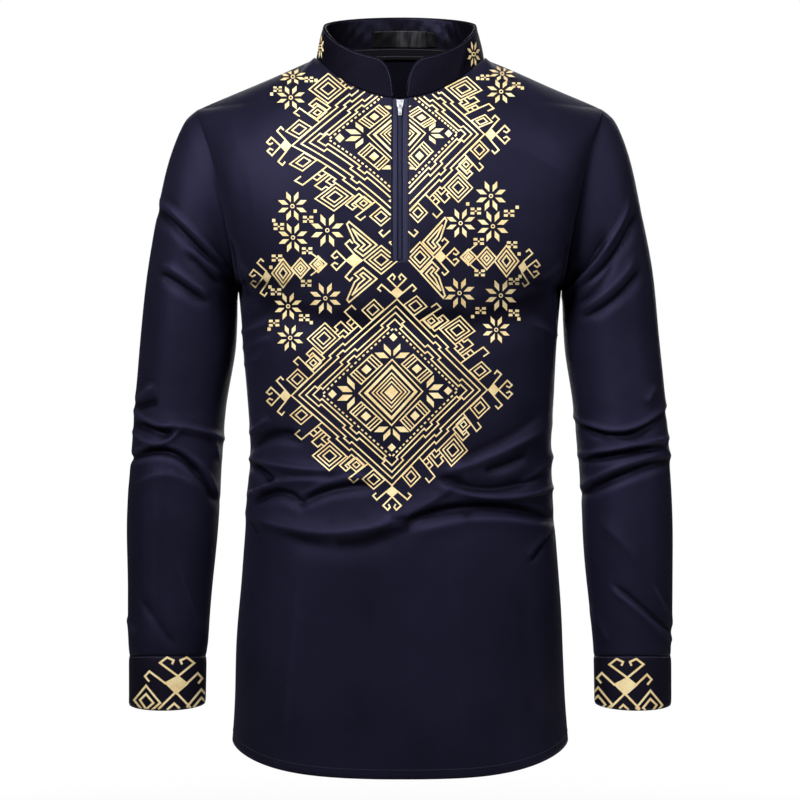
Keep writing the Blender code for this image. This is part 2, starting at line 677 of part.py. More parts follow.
def stations_between(stations, low_x, high_x):
    """The collar's back stations from low_x to high_x, with one made at each end."""
    back = sorted((s for s in stations if s[0][1] > 0), key=lambda s: s[0][0])

    def station_at(x):
        for left, right in zip(back, back[1:]):
            if left[0][0] <= x <= right[0][0]:
                t = (x - left[0][0]) / (right[0][0] - left[0][0])
                return tuple(a + (b - a) * t for a, b in zip(left, right))
        return back[0]

    inside = [s for s in back if low_x < s[0][0] < high_x]
    return [station_at(low_x)] + inside + [station_at(high_x)]


def collar_layer(name, stations, inset, thick, low, high, rows, collection, material):
    """A band inside the collar's outer surface, between two shares of its height."""
    outer, inner = [], []
    for r in range(rows + 1):
        share = low + (high - low) * r / rows
        for base, top, out in stations:
            point = base + (top - base) * share
            outer.append(point - out * inset)
            inner.append(point - out * (inset + thick))
    faces = grid_faces(rows + 1, len(stations), False, set())
    faces = [tuple(reversed(face)) for face in faces]
    add_wall(name, np.array(outer), np.array(inner), faces, collection, material)


def make_collar(seam, collection, material):
    stations = collar_stations(seam)
    facing_inset = CLOTH + SEAM_GAP
    trim_inset = facing_inset + TRIM + SEAM_GAP
    collar_layer("collar_stand", stations, 0.0, CLOTH, 0.0, 1.0, COLLAR_ROWS, collection, material)
    collar_layer("collar_facing", stations, facing_inset, TRIM, FACING_LOW, FACING_HIGH,
                 COLLAR_ROWS, collection, material)
    for name, row in INSIDE_NECK.items():
        strip = stations_between(stations, row["x1"], row["x2"])
        collar_layer(name, strip, trim_inset, TRIM, row["low"], row["high"], 1,
                     collection, material)


# ---------------------------------------------------------------- zip
def zip_rows(front):
    """Down the front's slot edges: inner surface points of the edge and next columns."""
    columns = front.columns
    edge = columns // 2
    rows = []
    normals = np.array([unit(own) for own in front.own])
    inner = front.points - normals * CLOTH
    for row in range(SLOT_ROW - 1, len(front.points) // columns):
        i = row * columns + edge
        rows.append((inner[i], inner[i + 1], normals[i] * np.array([0.0, 1.0, 1.0])))
    below_neck = rows[-1][0] + (rows[-2][0] - rows[-1][0]) * ZIP_TOP_SHARE
    below_next = rows[-1][1] + (rows[-2][1] - rows[-1][1]) * ZIP_TOP_SHARE
    rows[-1] = (below_neck, below_next, rows[-1][2])
    return rows


def zip_point(row, x, behind):
    """Point at x beside the zip's middle, behind the front's inner surface."""
    edge, beyond, normal = row
    t = (abs(x) - edge[0]) / (beyond[0] - edge[0])
    point = edge + (beyond - edge) * max(t, 0.0)
    return np.array([x, point[1], point[2]]) - unit(normal) * behind


def zip_strip(name, rows, xs, behind, thick, collection, material):
    outer = np.array([zip_point(row, x, behind) for row in rows for x in xs])
    inner = np.array([zip_point(row, x, behind + thick) for row in rows for x in xs])
    faces = grid_faces(len(rows), len(xs), False, set())
    add_wall(name, outer, inner, faces, collection, material)


def point_down(line, distance):
    """Point at a distance along a line of points."""
    for start, end in zip(line, line[1:]):
        step = np.linalg.norm(end - start)
        if distance <= step:
            return start + (end - start) * distance / step
        distance -= step
    return line[-1]


def slider_frame(front):
    """Place and tilt of the slider: on the front's surface, just below the neck seam."""
    columns = front.columns
    edge = front.points[columns // 2::columns] * np.array([0.0, 1.0, 1.0])
    line = list(edge[::-1])
    top = point_down(line, SLIDER_TOP_BELOW_NECK)
    foot = point_down(line, SLIDER_TOP_BELOW_NECK + SLIDER_LENGTH)
    down = unit(foot - top)
    return (top + foot) / 2, math.atan2(down[1], -down[2])


def box(name, size, place, collection):
    """A box with one scale applied, centred at place."""
    bpy.ops.mesh.primitive_cube_add(size=1.0, location=place)
    made = bpy.context.object
    made.name = name
    made.data.name = name
    for vertex in made.data.vertices:
        vertex.co.x *= size[0]
        vertex.co.y *= size[1]
        vertex.co.z *= size[2]
    for owner in list(made.users_collection):
        owner.objects.unlink(made)
    collection.objects.link(made)
    return made


def combine(body, tool, operation):
    """Boolean modifier on body; the tool is a guide that the model leaves out."""
    tool.hide_render = True
    tool.display_type = "WIRE"
    modifier = body.modifiers.new(tool.name, "BOOLEAN")
    modifier.operation = operation
    modifier.object = tool
    modifier.solver = "EXACT"


def make_slider(front, collection, cutters, material):
    """Two plates joined by a post above the coil, and the bail that holds the tab."""
    place, tilt = slider_frame(front)
    frame = bpy.data.objects.new("slider_frame", None)
    frame.location = place
    frame.rotation_euler = (tilt, 0.0, 0.0)
    collection.objects.link(frame)

    plate_y = SLIDER_PLATE_LEVEL
    slider = box("zip_slider", (2 * SLIDER_HALF_TOP, SLIDER_PLATE, SLIDER_LENGTH),
                 (0, plate_y, 0), collection)
    for vertex in slider.data.vertices:
        if vertex.co.z < 0:
            vertex.co.x *= SLIDER_HALF_FOOT / SLIDER_HALF_TOP
    rounded = slider.modifiers.new("rounded", "BEVEL")
    rounded.width = SLIDER_ROUNDING
    rounded.segments = 2
    post_depth = SLIDER_BACK_LEVEL - plate_y
    post = box("slider_post", (SLIDER_POST_HALF * 2, post_depth, SLIDER_POST_LENGTH),
               (0, plate_y + post_depth / 2, SLIDER_LENGTH / 2 - SLIDER_POST_LENGTH / 2 - SLIDER_POST_DOWN),
               cutters)
    back = box("slider_back", (2 * SLIDER_BACK_HALF, SLIDER_PLATE, SLIDER_BACK_LENGTH),
               (0, SLIDER_BACK_LEVEL, 0), cutters)
    bail_face = plate_y - SLIDER_PLATE / 2
    bail = box("slider_bail", (2 * BAIL_HALF, BAIL_RISE, BAIL_LENGTH),
               (0, bail_face - BAIL_RISE / 2 + BAIL_SINK, BAIL_DOWN), cutters)
    eye = box("bail_eye", (4 * BAIL_HALF, BAIL_RISE - BAIL_WALL - BAIL_SINK, BAIL_LENGTH - 2 * BAIL_WALL),
              (0, bail_face - (BAIL_RISE - BAIL_WALL - BAIL_SINK) / 2, BAIL_DOWN), cutters)
    combine(slider, post, "UNION")
    combine(slider, back, "UNION")
    combine(bail, eye, "DIFFERENCE")
    combine(slider, bail, "UNION")
    for piece in (slider, post, back, bail, eye):
        piece.parent = frame
    slider.data.materials.append(material["zip_slider"])
    return frame, bail_face


def make_pull_tab(frame, bail_face, collection, cutters, material):
    """A tapered tab with an eye whose upper bar turns inside the bail."""
    clear = (BAIL_RISE - BAIL_WALL - BAIL_SINK)
    axis_y = bail_face - clear / 2
    axis_z = BAIL_DOWN - BAIL_LENGTH / 2 + BAIL_WALL + TAB_BAR / 2 + SEAM_GAP
    tab = box("pull_tab", (2 * TAB_HALF_TOP, TAB_THICK, TAB_LENGTH), (0, 0, 0), collection)
    for vertex in tab.data.vertices:
        vertex.co.z += TAB_BAR / 2 - TAB_LENGTH / 2
        if vertex.co.z < -TAB_LENGTH / 2:
            vertex.co.x *= TAB_HALF_FOOT / TAB_HALF_TOP
    eye = box("tab_eye", (2 * (TAB_HALF_TOP - TAB_ARM), 4 * TAB_THICK, TAB_EYE),
              (0, 0, -TAB_BAR / 2 - TAB_EYE / 2), cutters)
    bpy.ops.mesh.primitive_cylinder_add(vertices=16, radius=TAB_RING_HOLE, depth=4 * TAB_THICK,
                                        rotation=(math.pi / 2, 0, 0),
                                        location=(0, 0, TAB_BAR / 2 - TAB_LENGTH + 2 * TAB_RING_HOLE))
    ring = bpy.context.object
    ring.name = "tab_ring"
    for owner in list(ring.users_collection):
        owner.objects.unlink(ring)
    cutters.objects.link(ring)
    combine(tab, eye, "DIFFERENCE")
    combine(tab, ring, "DIFFERENCE")
    eye.parent = tab
    ring.parent = tab
    tab.parent = frame
    tab.location = (0, axis_y, axis_z)
    tab.data.materials.append(material["pull_tab"])


# ---------------------------------------------------------------- materials and assembly
def make_material(name, colour, roughness, metallic):
    made = bpy.data.materials.new(name)
    made.use_nodes = True
    shader = made.node_tree.nodes["Principled BSDF"]
    shader.inputs["Base Color"].default_value = (*colour, 1.0)
    shader.inputs["Roughness"].default_value = roughness
    shader.inputs["Metallic"].default_value = metallic
    return made


def main():
    clear_scene()
    collection = bpy.data.collections.new("dashiki_shirt")
    cutters = bpy.data.collections.new("cutters")
    bpy.context.scene.collection.children.link(collection)
    bpy.context.scene.collection.children.link(cutters)
    material = {name: make_material(name, *finish) for name, finish in FINISHES.items()}

    front, back, armholes, seam = make_torso()
    sleeves = make_sleeves(armholes)
    raise_folds([front, back] + sleeves)
    build_walls([[front, back], sleeves], collection, material)
    make_cuffs(sleeves, collection, material)
    make_collar(seam, collection, material)

    rows = zip_rows(front)
    right_edges = [TAPE_INNER, SLOT_HALF, TAPE_OUTER]
    left_edges = [-x for x in reversed(right_edges)]
    zip_strip("zip_tape_left", rows, right_edges, TAPE_BEHIND, TRIM, collection, material)
    zip_strip("zip_tape_right", rows, left_edges, TAPE_BEHIND, TRIM, collection, material)
    coil_rows = rows[1:-1]
    foot, foot_next, foot_normal = rows[1]
    lift = unit(rows[2][0] - foot) * SEAM_GAP
    coil_rows[0] = (foot + lift, foot_next + lift, foot_normal)
    zip_strip("zip_coil", coil_rows, [-COIL_HALF, 0.0, COIL_HALF], COIL_BEHIND, COIL_THICK,
              collection, material)
    frame, bail_face = make_slider(front, collection, cutters, material)
    make_pull_tab(frame, bail_face, collection, cutters, material)


main()
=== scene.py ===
import math

import bmesh
import bpy
import numpy as np
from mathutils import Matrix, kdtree


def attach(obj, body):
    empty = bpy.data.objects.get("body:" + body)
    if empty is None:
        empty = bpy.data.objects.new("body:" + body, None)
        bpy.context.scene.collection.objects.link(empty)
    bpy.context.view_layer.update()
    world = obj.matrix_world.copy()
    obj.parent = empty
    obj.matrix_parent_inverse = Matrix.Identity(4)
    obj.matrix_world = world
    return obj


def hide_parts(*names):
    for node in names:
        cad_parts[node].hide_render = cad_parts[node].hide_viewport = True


# Dashiki tunic shirt, in metres. Front towards -Y, the wearer's left sleeve on +X.
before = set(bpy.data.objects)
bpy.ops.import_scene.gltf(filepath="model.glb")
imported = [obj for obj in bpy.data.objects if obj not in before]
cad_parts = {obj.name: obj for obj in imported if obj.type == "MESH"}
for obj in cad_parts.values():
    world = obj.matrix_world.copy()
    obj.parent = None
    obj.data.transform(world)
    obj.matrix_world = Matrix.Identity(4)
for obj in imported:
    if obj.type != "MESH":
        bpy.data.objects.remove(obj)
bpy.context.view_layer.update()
print("frame loaded:", len(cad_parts), "nodes")

garment = bpy.data.collections.new("dashikiShirt")
bpy.context.scene.collection.children.link(garment)

# Sizes the cloth is cut and shaped to
shirt = dict(
    shoulderX=0.2160, shoulderZ=-0.0516, armpitZ=-0.2410, armholeFront=0.0580, armholeBack=0.0650,
    neckX=0.0900, neckFront=0.0720, neckBack=0.0620, neckFrontDrop=0.0480, neckBackRise=0.0120,
    hemZ=-0.7460, hemSideLift=0.0185, hemSidePower=3.8, chestRounding=2.4,
    shoulderRoll=0.0850, throatRoll=0.1500, sideNeckEase=-0.0140, frontNeckEase=-0.0260,
    backNeckEase=0.0080, slotHalf=0.0080, tapeHalf=0.0160, straightTo=0.1839,
    easedBy=0.5, turnPower=0.5, throatPowerFront=0.5, throatPowerBack=0.3,
    wall=0.0011, seamGap=0.0003, seamPuff=0.0006, foldsStart=0.016,
)


def tableOf(names, *rows):
    return [dict(zip(names.split(), row)) for row in rows]


# Torso: half width and reach to the front and back at each height
torsoTable = tableOf(
    "z half front back",
    (-0.780, 0.1840, 0.1180, 0.1210),
    (-0.700, 0.1790, 0.1180, 0.1210),
    (-0.620, 0.1750, 0.1160, 0.1170),
    (-0.540, 0.1695, 0.1130, 0.1040),
    (-0.470, 0.1640, 0.1100, 0.0920),
    (-0.410, 0.1612, 0.1090, 0.0850),
    (-0.350, 0.1645, 0.1120, 0.0870),
    (-0.290, 0.1688, 0.1180, 0.0960),
    (-0.241, 0.1738, 0.1215, 0.1040),
    (-0.184, 0.1800, 0.1210, 0.1100),
    (-0.141, 0.1880, 0.1170, 0.1110),
    (-0.099, 0.1985, 0.1080, 0.1070),
    (-0.0516, 0.2160, 0.0940, 0.0960),
    (0.020, 0.2340, 0.0800, 0.0800),
)
# Sleeve rings from the armhole (0) to the cuff seam (1)
sleeveTable = tableOf(
    "at outX outZ inX inZ deep y lift",
    (0.00, 0.2160, -0.0516, 0.1738, -0.2410, 0.0615, 0.0035, 0.000),
    (0.05, 0.2305, -0.0670, 0.1743, -0.2440, 0.0620, 0.0030, 0.000),
    (0.12, 0.2460, -0.1060, 0.1749, -0.2500, 0.0620, 0.0020, 0.000),
    (0.20, 0.2580, -0.1570, 0.1754, -0.2620, 0.0605, 0.0010, 0.000),
    (0.30, 0.2690, -0.2200, 0.1760, -0.2820, 0.0585, 0.0000, 0.000),
    (0.40, 0.2765, -0.2850, 0.1782, -0.3140, 0.0565, -0.0020, 0.001),
    (0.52, 0.2835, -0.3600, 0.1872, -0.3710, 0.0540, -0.0060, 0.002),
    (0.64, 0.2880, -0.4300, 0.1926, -0.4340, 0.0505, -0.0130, 0.003),
    (0.76, 0.2916, -0.5000, 0.1962, -0.5020, 0.0475, -0.0210, 0.004),
    (0.88, 0.2898, -0.5680, 0.2020, -0.5690, 0.0440, -0.0290, 0.006),
    (1.00, 0.2872, -0.6337, 0.2070, -0.6337, 0.0400, -0.0370, 0.0074),
)


def step(low, high, value):
    t = np.clip((np.asarray(value, float) - low) / (high - low), 0.0, 1.0)
    return t * t * (3 - 2 * t)


# Smooth curve through one column of a table
def curveOf(table, key, column):
    keys = np.array([row[key] for row in table])
    values = np.array([row[column] for row in table])
    last = len(keys) - 1
    slopes = np.array([(values[min(k + 1, last)] - values[max(k - 1, 0)])
                       / (keys[min(k + 1, last)] - keys[max(k - 1, 0)]) for k in range(last + 1)])

    def at(x):
        x = np.clip(np.asarray(x, float), keys[0], keys[-1])
        i = np.clip(np.searchsorted(keys, x, side="left") - 1, 0, last - 1)
        span = keys[i + 1] - keys[i]
        t = (x - keys[i]) / span
        rise = (3 - 2 * t) * t * t * (values[i + 1] - values[i])
        bend = slopes[i] * (t - 2 * t * t + t ** 3) + slopes[i + 1] * (t ** 3 - t * t)
        return values[i] + rise + span * bend
    return at


torsoHalf = curveOf(torsoTable, "z", "half")
torsoReach = {True: curveOf(torsoTable, "z", "front"), False: curveOf(torsoTable, "z", "back")}
sleeveCurves = {name: curveOf(sleeveTable, "at", name) for name in ("outX", "outZ", "inX", "inZ", "deep", "y", "lift")}


# ---- torso surface: s runs from -1 at the wearer's right side to 1, level from the hem to the seams
def panelTop(topX, front):
    away = np.abs(topX)
    roundOff = np.sqrt(np.clip(1 - (topX / shirt["neckX"]) ** 2, 0, None))
    neck = -shirt["neckFrontDrop"] * roundOff ** 2 if front else shirt["neckBackRise"] * roundOff ** 1.5
    along = (away - shirt["neckX"]) / (shirt["shoulderX"] - shirt["neckX"])
    return np.where(away <= shirt["neckX"], neck, shirt["shoulderZ"] * along)


def easedTop(topX, front):
    away = np.abs(topX)
    centre = shirt["frontNeckEase"] if front else shirt["backNeckEase"]
    inNeck = shirt["sideNeckEase"] + centre * (np.clip(shirt["neckX"] - away, 0, None) / shirt["neckX"]) ** 2
    along = (away - shirt["neckX"]) / (shirt["shoulderX"] - shirt["neckX"])
    return np.where(away <= shirt["neckX"], inNeck,
                    shirt["sideNeckEase"] + (shirt["shoulderZ"] - shirt["sideNeckEase"]) * along ** 2)


def rollOf(s):
    inwards = 1 - step(0, shirt["neckX"] / shirt["shoulderX"], np.abs(s))
    return shirt["shoulderRoll"] + (shirt["throatRoll"] - shirt["shoulderRoll"]) * inwards, inwards


def hemOf(s):
    return shirt["hemZ"] + shirt["hemSideLift"] * np.abs(s) ** shirt["hemSidePower"]


def torsoXY(s, z, front):
    topX = s * shirt["shoulderX"]
    topZ = panelTop(topX, front)
    roll, inwards = rollOf(s)
    eased = step(0, shirt["easedBy"], (topZ - z) / roll)
    depth = (topZ - z) * (1 - eased) + (easedTop(topX, front) - z) * eased
    below = np.clip(depth / roll, 0, 1)
    throat = shirt["throatPowerFront"] if front else shirt["throatPowerBack"]
    turned = (2 * below - below * below) ** (shirt["turnPower"] + throat * inwards)
    plan = np.clip(1 - np.abs(s) ** shirt["chestRounding"], 0, None) ** (1 / shirt["chestRounding"])
    u = np.clip((z - shirt["armpitZ"]) / (shirt["shoulderZ"] - shirt["armpitZ"]), 0, 1)
    side = (shirt["armholeFront"] if front else shirt["armholeBack"]) * np.sqrt(np.clip(1 - (2 * u - 1) ** 2, 0, None))
    half = np.where(z > shirt["shoulderZ"], shirt["shoulderX"], torsoHalf(z))
    spread = shirt["neckX"] + (shirt["shoulderX"] - shirt["neckX"]) * below
    hollow = np.clip(1 - (topX / spread) ** 2, 0, None) ** (0.5 + below)
    flare = (shirt["neckFront"] if front else shirt["neckBack"]) * hollow
    y = flare * (1 - turned) + side * (1 - plan) + torsoReach[front](z) * plan * turned
    straight = 1 - step(shirt["tapeHalf"] / shirt["shoulderX"], shirt["straightTo"], np.abs(s))
    x = s * (half + (shirt["shoulderX"] - half) * straight)
    return x, (-y if front else y)


# level below 0 is the body, 0 to 1 rolls over to the seam
def levelZ(s, level, front):
    topZ = panelTop(s * shirt["shoulderX"], front)
    roll = rollOf(s)[0]
    rolling = topZ - roll * (1 - np.sin(np.clip(level, 0, 1) * math.pi / 2))
    body = hemOf(s) + (topZ - roll - hemOf(s)) * (1 + level)
    return np.where(level < 0, body, rolling)


def torsoPoint(s, level, front):
    z = levelZ(s, level, front)
    x, y = torsoXY(s, z, front)
    return np.stack(np.broadcast_arrays(x, y, z), -1)


# ---- one chart for folds and print: squares of 1.08 mm on the front, seen from 2.1 m, column then row
chart = dict(
    square=0.00108, far=2.1, eyeZ=-0.230, middle=400.0, eyeRow=275.0, lift=0.00028, piece=2.2, depth=0.0015,
)


def chartOf(points):
    near = chart["far"] / (chart["far"] + points[..., 1]) / chart["square"]
    return np.stack([chart["middle"] + points[..., 0] * near,
                     chart["eyeRow"] - (points[..., 2] - chart["eyeZ"]) * near], -1)


# Each fold: both ends on the chart, sag of its middle, reach above and below in squares, height in depths
foldForm = dict(fadeIn=(-0.14, 0.22), fadeOut=(0.78, 1.14), crestFall=1.6, crestTop=0.2, crestRound=0.04, floor=1.35)


def foldsAt(folds, where):
    total = np.zeros(where.shape[:-1])
    for start, end, sag, above, below, height in folds:
        run = np.array(end, float) - start
        length = np.linalg.norm(run)
        run = run / length
        here = where - np.array(start, float)
        along = here @ run / length
        off = here[..., 0] * run[1] - here[..., 1] * run[0] + sag * (1 - (2 * along - 1) ** 2)
        fade = step(*foldForm["fadeIn"], along) * (1 - step(*foldForm["fadeOut"], along))
        share = off / np.where(off > 0, above, below)
        # ridges keep a crisp crest, troughs a round floor
        if height > 0:
            away = foldForm["crestTop"] - np.sqrt(share ** 2 + foldForm["crestRound"])
            shape = np.exp(foldForm["crestFall"] * away)
        else:
            shape = foldForm["floor"] * np.exp(-share ** 2)
        total += height * chart["depth"] * fade * shape
    return total


# Long soft waves that keep a panel from looking moulded
def softWaves(x, z, size, turn=0.0):
    a = np.sin(21.0 * x + 13.0 * z + turn) * np.sin(9.0 * x - 24.0 * z + 1.7 * turn)
    b = np.sin(47.0 * x - 17.0 * z + 2.3 + turn) * np.sin(31.0 * z + 11.0 * x - turn)
    return size * (a + 0.45 * b)


folds = dict(
    front=[
        # left of the waist: ridges, a wedge between them and the small arches
        ((268, 417), (250, 432), 0, 6, 5, 2.4), ((250, 446), (301, 438), -8, 6, 7, -3.2),
        ((249, 457), (335, 470), 3, 7, 6, 3.0), ((250, 462), (275, 481), 0, 4, 5, -3.4),
        ((250, 494), (280, 479), 0, 5, 4, 3.0), ((276, 481), (330, 481), -1, 6, 8, 2.0),
        ((256, 500), (303, 501), -9, 4, 7, -3.0), ((304, 494), (372, 477), -5, 7, 4, 1.6),
        ((301, 502), (372, 485), -5, 4, 6, -2.5),
        # the long smile fold and the shade below it
        ((250, 513), (388, 524), 14, 14, 7, 3.6), ((362, 531), (452, 486), 6, 14, 7, 3.4),
        ((285, 531), (398, 530), 14, 7, 14, -1.3), ((405, 521), (549, 516), -12, 5, 8, -4.6),
        ((420, 531), (546, 525), -10, 5, 12, 1.6),
        # right of the waist
        ((440, 486), (553, 486), 12, 7, 4, 3.6), ((444, 480), (537, 476), 11, 8, 4, -2.6),
        ((438, 474), (546, 424), 6, 10, 7, 3.0), ((455, 461), (541, 410), 5, 12, 5, -1.5),
        ((521, 482), (554, 448), 3, 6, 6, 2.2), ((486, 471), (524, 455), 1, 5, 5, -2.0),
        ((530, 561), (552, 531), 0, 3, 3, -1.1), ((526, 556), (547, 529), 0, 5, 4, 1.0),
        ((251, 519), (258, 534), 0, 3, 3, -0.6),
        # chest: shade under it, drags into the sides and both armpits
        ((238, 292), (402, 324), 10, 20, 26, -3.0), ((398, 324), (565, 292), 10, 20, 26, -3.6),
        ((242, 331), (268, 320), 0, 3, 4, 1.7), ((244, 346), (272, 336), 0, 3, 4, 1.3),
        ((245, 363), (264, 352), 0, 3, 4, 1.0), ((534, 321), (559, 334), 0, 3, 4, 1.3),
        ((228, 238), (244, 298), 0, 7, 7, -2.6), ((572, 238), (559, 296), 0, 7, 7, -2.6),
        ((238, 262), (262, 283), 0, 4, 4, 1.2), ((562, 262), (540, 282), 0, 4, 4, 1.2),
        # skirt: long easy drapes
        ((300, 566), (286, 742), 0, 16, 16, 1.2), ((372, 590), (366, 752), 0, 20, 18, -1.0),
        ((452, 574), (464, 748), 0, 20, 16, 1.1), ((520, 580), (532, 736), 0, 12, 14, -0.9),
    ],
    back=[
        ((250, 428), (520, 412), 22, 10, 6, 4.0), ((290, 452), (552, 440), 22, 6, 9, -4.2),
        ((250, 476), (480, 484), 18, 9, 5, 4.4), ((330, 514), (552, 494), 16, 6, 9, -3.8),
        ((252, 540), (410, 532), 12, 8, 6, 2.4), ((548, 384), (450, 424), 6, 6, 6, 2.2),
        ((252, 392), (330, 424), 0, 6, 6, 2.0), ((232, 226), (340, 306), 8, 20, 20, -2.6),
        ((568, 222), (460, 300), 8, 20, 20, -2.6), ((400, 226), (404, 440), 0, 24, 24, -1.5),
        ((330, 566), (318, 742), 0, 18, 16, 1.3), ((404, 580), (400, 752), 0, 20, 20, -1.2),
        ((476, 570), (490, 744), 0, 18, 16, 1.2),
    ],
    # the sleeve on the left of the page, then the one on the right
    sleeveRight=[
        ((166, 203), (228, 265), 0, 4.5, 3, 2.7), ((162, 209), (214, 262), 0, 3, 6, -2.3),
        ((193, 249), (226, 277), 0, 4, 3, 1.3), ((189, 254), (222, 283), 0, 3, 5, -1.5),
        ((167, 264), (209, 294), 0, 6, 3.5, 2.2), ((163, 272), (206, 301), 0, 3.5, 6, -1.9),
        ((135, 408), (173, 425), 6, 4, 4, 2.6), ((160, 424), (224, 437), -3, 6, 4, 3.0),
        ((138, 422), (171, 434), 1, 4, 5, -2.9), ((134, 431), (180, 430), 13, 4, 3, 2.5),
        ((131, 456), (201, 473), -14, 3.5, 5, -4.0), ((192, 464), (215, 500), -3, 4, 5, -2.0),
        ((196, 458), (217, 496), -3, 3, 3, 1.8), ((213, 432), (218, 457), 0, 3, 3, 1.4),
        ((138, 405), (157, 400), 0, 4, 5, -2.0), ((134, 484), (197, 486), -12, 6, 16, 1.7),
        ((153, 384), (138, 399), 0, 5, 5, 2.0), ((128, 617), (137, 634), 0, 4, 4, 1.4),
        ((176, 560), (204, 640), 0, 6, 6, 1.0), ((140, 596), (176, 648), 0, 7, 5, -0.9),
    ],
    sleeveLeft=[
        ((566, 291), (627, 203), 7, 3.5, 4, 2.9), ((558, 288), (604, 236), 5, 7, 4, -2.1),
        ((586, 282), (634, 214), 6, 3, 5, -2.0), ((576, 303), (614, 262), 4, 4, 3, -1.2),
        ((583, 308), (632, 259), 5, 6, 4.5, 2.2), ((586, 315), (637, 271), 5, 3, 6, -1.9),
        ((575, 415), (664, 405), 20, 6, 3.5, 3.1), ((582, 424), (662, 412), 16, 3.5, 7, -3.1),
        ((582, 453), (668, 436), 2, 6, 3, 3.1), ((586, 458), (660, 445), 1, 3, 4, -3.1),
        ((604, 434), (655, 444), 3, 4, 3, 1.6), ((655, 437), (670, 464), -3, 3, 3, 1.9),
        ((583, 484), (656, 455), -3, 7, 3.5, 2.9), ((585, 490), (668, 458), -2, 3, 6, -3.1),
        ((654, 384), (645, 402), 0, 5, 5, 1.6), ((612, 588), (672, 640), -1, 4, 3, 2.1),
        ((617, 586), (671, 632), 0, 3, 3, -1.3), ((654, 586), (672, 624), 0, 3, 3, 1.6),
        ((593, 608), (610, 642), 0, 4, 4, 1.1),
        ((600, 520), (640, 560), 0, 10, 8, 1.0),
    ],
)


# ---- grids of points: rows x columns x 3
def unitRows(vectors):
    return vectors / np.maximum(np.linalg.norm(vectors, axis=-1, keepdims=True), 1e-12)


def slopeAlong(grid, axis, closed=False):
    if closed:
        return np.roll(grid, -1, axis) - np.roll(grid, 1, axis)
    return np.gradient(grid, axis=axis)


def gridNormals(grid, closed=False, flip=False):
    normals = unitRows(np.cross(slopeAlong(grid, 1, closed), slopeAlong(grid, 0)))
    return -normals if flip else normals


# Distance walked along a line, or along rows (axis 0) or columns (axis 1) of a grid
def walked(grid, axis=0):
    steps = np.linalg.norm(np.diff(grid, axis=axis), axis=-1)
    pad = [(0, 0)] * steps.ndim
    pad[axis] = (1, 0)
    return np.pad(np.cumsum(steps, axis=axis), pad)


def fromEdges(grid, axis, low=True):
    along = walked(grid, axis)
    near = along.take([-1], axis=axis) - along
    return np.minimum(near, along) if low else near


# Even steps between stops; each stop has the count of steps that follow it
def stepsAlong(*stops):
    parts = [np.linspace(low, high, count, endpoint=False) for (low, count), (high, _) in zip(stops, stops[1:])]
    return np.concatenate([*parts, [stops[-1][0]]])


# Cloth swells a little beside its seams
def seamPuff(near, reach=0.0028):
    return shirt["seamPuff"] * (1 - np.exp(-(near / reach) ** 2))


# Folds and soft waves on a flat grid, both fading towards its seams, and the fold measure for the painted fold shade
def raised(flat, normals, ownFolds, seams, waves, turn):
    rise = foldsAt(ownFolds, chartOf(flat))
    rise += softWaves(flat[..., 0], flat[..., 2], waves, turn)
    rise *= step(0.0, shirt["foldsStart"], seams)
    return flat + normals * (rise + seamPuff(seams))[..., None], creaseOf(rise)


# How far each point stands proud of the cloth around it, -1 to 1: it paints a highlight on crests and shade in floors
# into the cloth's colour
def creaseOf(rise, reach=4):
    spread = np.pad(rise, reach, mode="edge")
    for axis in (0, 1):
        spread = sum(np.roll(spread, shift, axis) for shift in range(-reach, reach + 1)) / (2 * reach + 1)
    return np.clip((rise - spread[reach:-reach, reach:-reach]) / chart["depth"], -1, 1)


def addPiece(name, mesh, finish):
    mesh.shade_smooth()
    mesh.materials.append(finish)
    piece = bpy.data.objects.new(name, mesh)
    garment.objects.link(piece)
    return piece


# Piece from a grid, with the distances along it as a map for the weave
def gridMesh(name, grid, finish, closed=False, flip=False, skip=None, foldShade=None):
    rows, columns = grid.shape[:2]
    spans = columns if closed else columns - 1
    r, c = np.meshgrid(np.arange(rows - 1), np.arange(spans), indexing="ij")
    keep = np.ones(r.shape, bool) if skip is None else ~skip
    r, c = r[keep], c[keep]
    d = (c + 1) % columns
    around = ((r, c, c), (r, c + 1, d), (r + 1, c + 1, d), (r + 1, c, c))
    quads = np.stack([row * columns + point for row, _, point in around], -1)
    across = walked(np.concatenate([grid, grid[:, :1]], 1) if closed else grid, 1)
    along = walked(grid)
    corners = np.stack([np.stack([across[row, spot], along[row, point]], -1) for row, spot, point in around], 1)
    if flip:
        quads, corners = quads[:, ::-1], corners[:, ::-1]
    mesh = bpy.data.meshes.new(name)
    mesh.from_pydata(grid.reshape(-1, 3).tolist(), [], quads.tolist())
    mesh.uv_layers.new(name="cloth").data.foreach_set("uv", corners.reshape(-1).astype(np.float32))
    # the fold measure that paints highlight on crests and shade in floors into the cloth's colour
    if foldShade is not None:
        layer = mesh.attributes.new("foldShade", "FLOAT", "POINT")
        layer.data.foreach_set("value", foldShade.reshape(-1).astype(np.float32))
    if skip is not None:
        clean = bmesh.new()
        clean.from_mesh(mesh)
        bmesh.ops.delete(clean, geom=[v for v in clean.verts if not v.link_faces], context="VERTS")
        clean.to_mesh(mesh)
        clean.free()
    return addPiece(name, mesh, finish)


# Cloth's thickness, laid inside its outer face
def addWall(piece, wall, inside=None):
    thick = piece.modifiers.new("wall", "SOLIDIFY")
    if inside:
        piece.data.materials.append(inside)
        thick.material_offset = 1
    thick.thickness = wall
    thick.offset = -1
    thick.use_even_offset = False
    return piece


# ---- finishes: a socket that can be used in sums, and one method for every other node
def bothWays(operation):
    def maths(finish, first, second):
        return finish.node("ShaderNodeMath", dict(operation=operation), {0: first, 1: second})
    return (lambda self, other: maths(self.finish, self, other),
            lambda self, other: maths(self.finish, other, self))


class Level:
    __add__, __radd__ = bothWays("ADD")
    __sub__, __rsub__ = bothWays("SUBTRACT")
    __mul__, __rmul__ = bothWays("MULTIPLY")

    def __init__(self, finish, socket):
        self.finish, self.socket = finish, socket


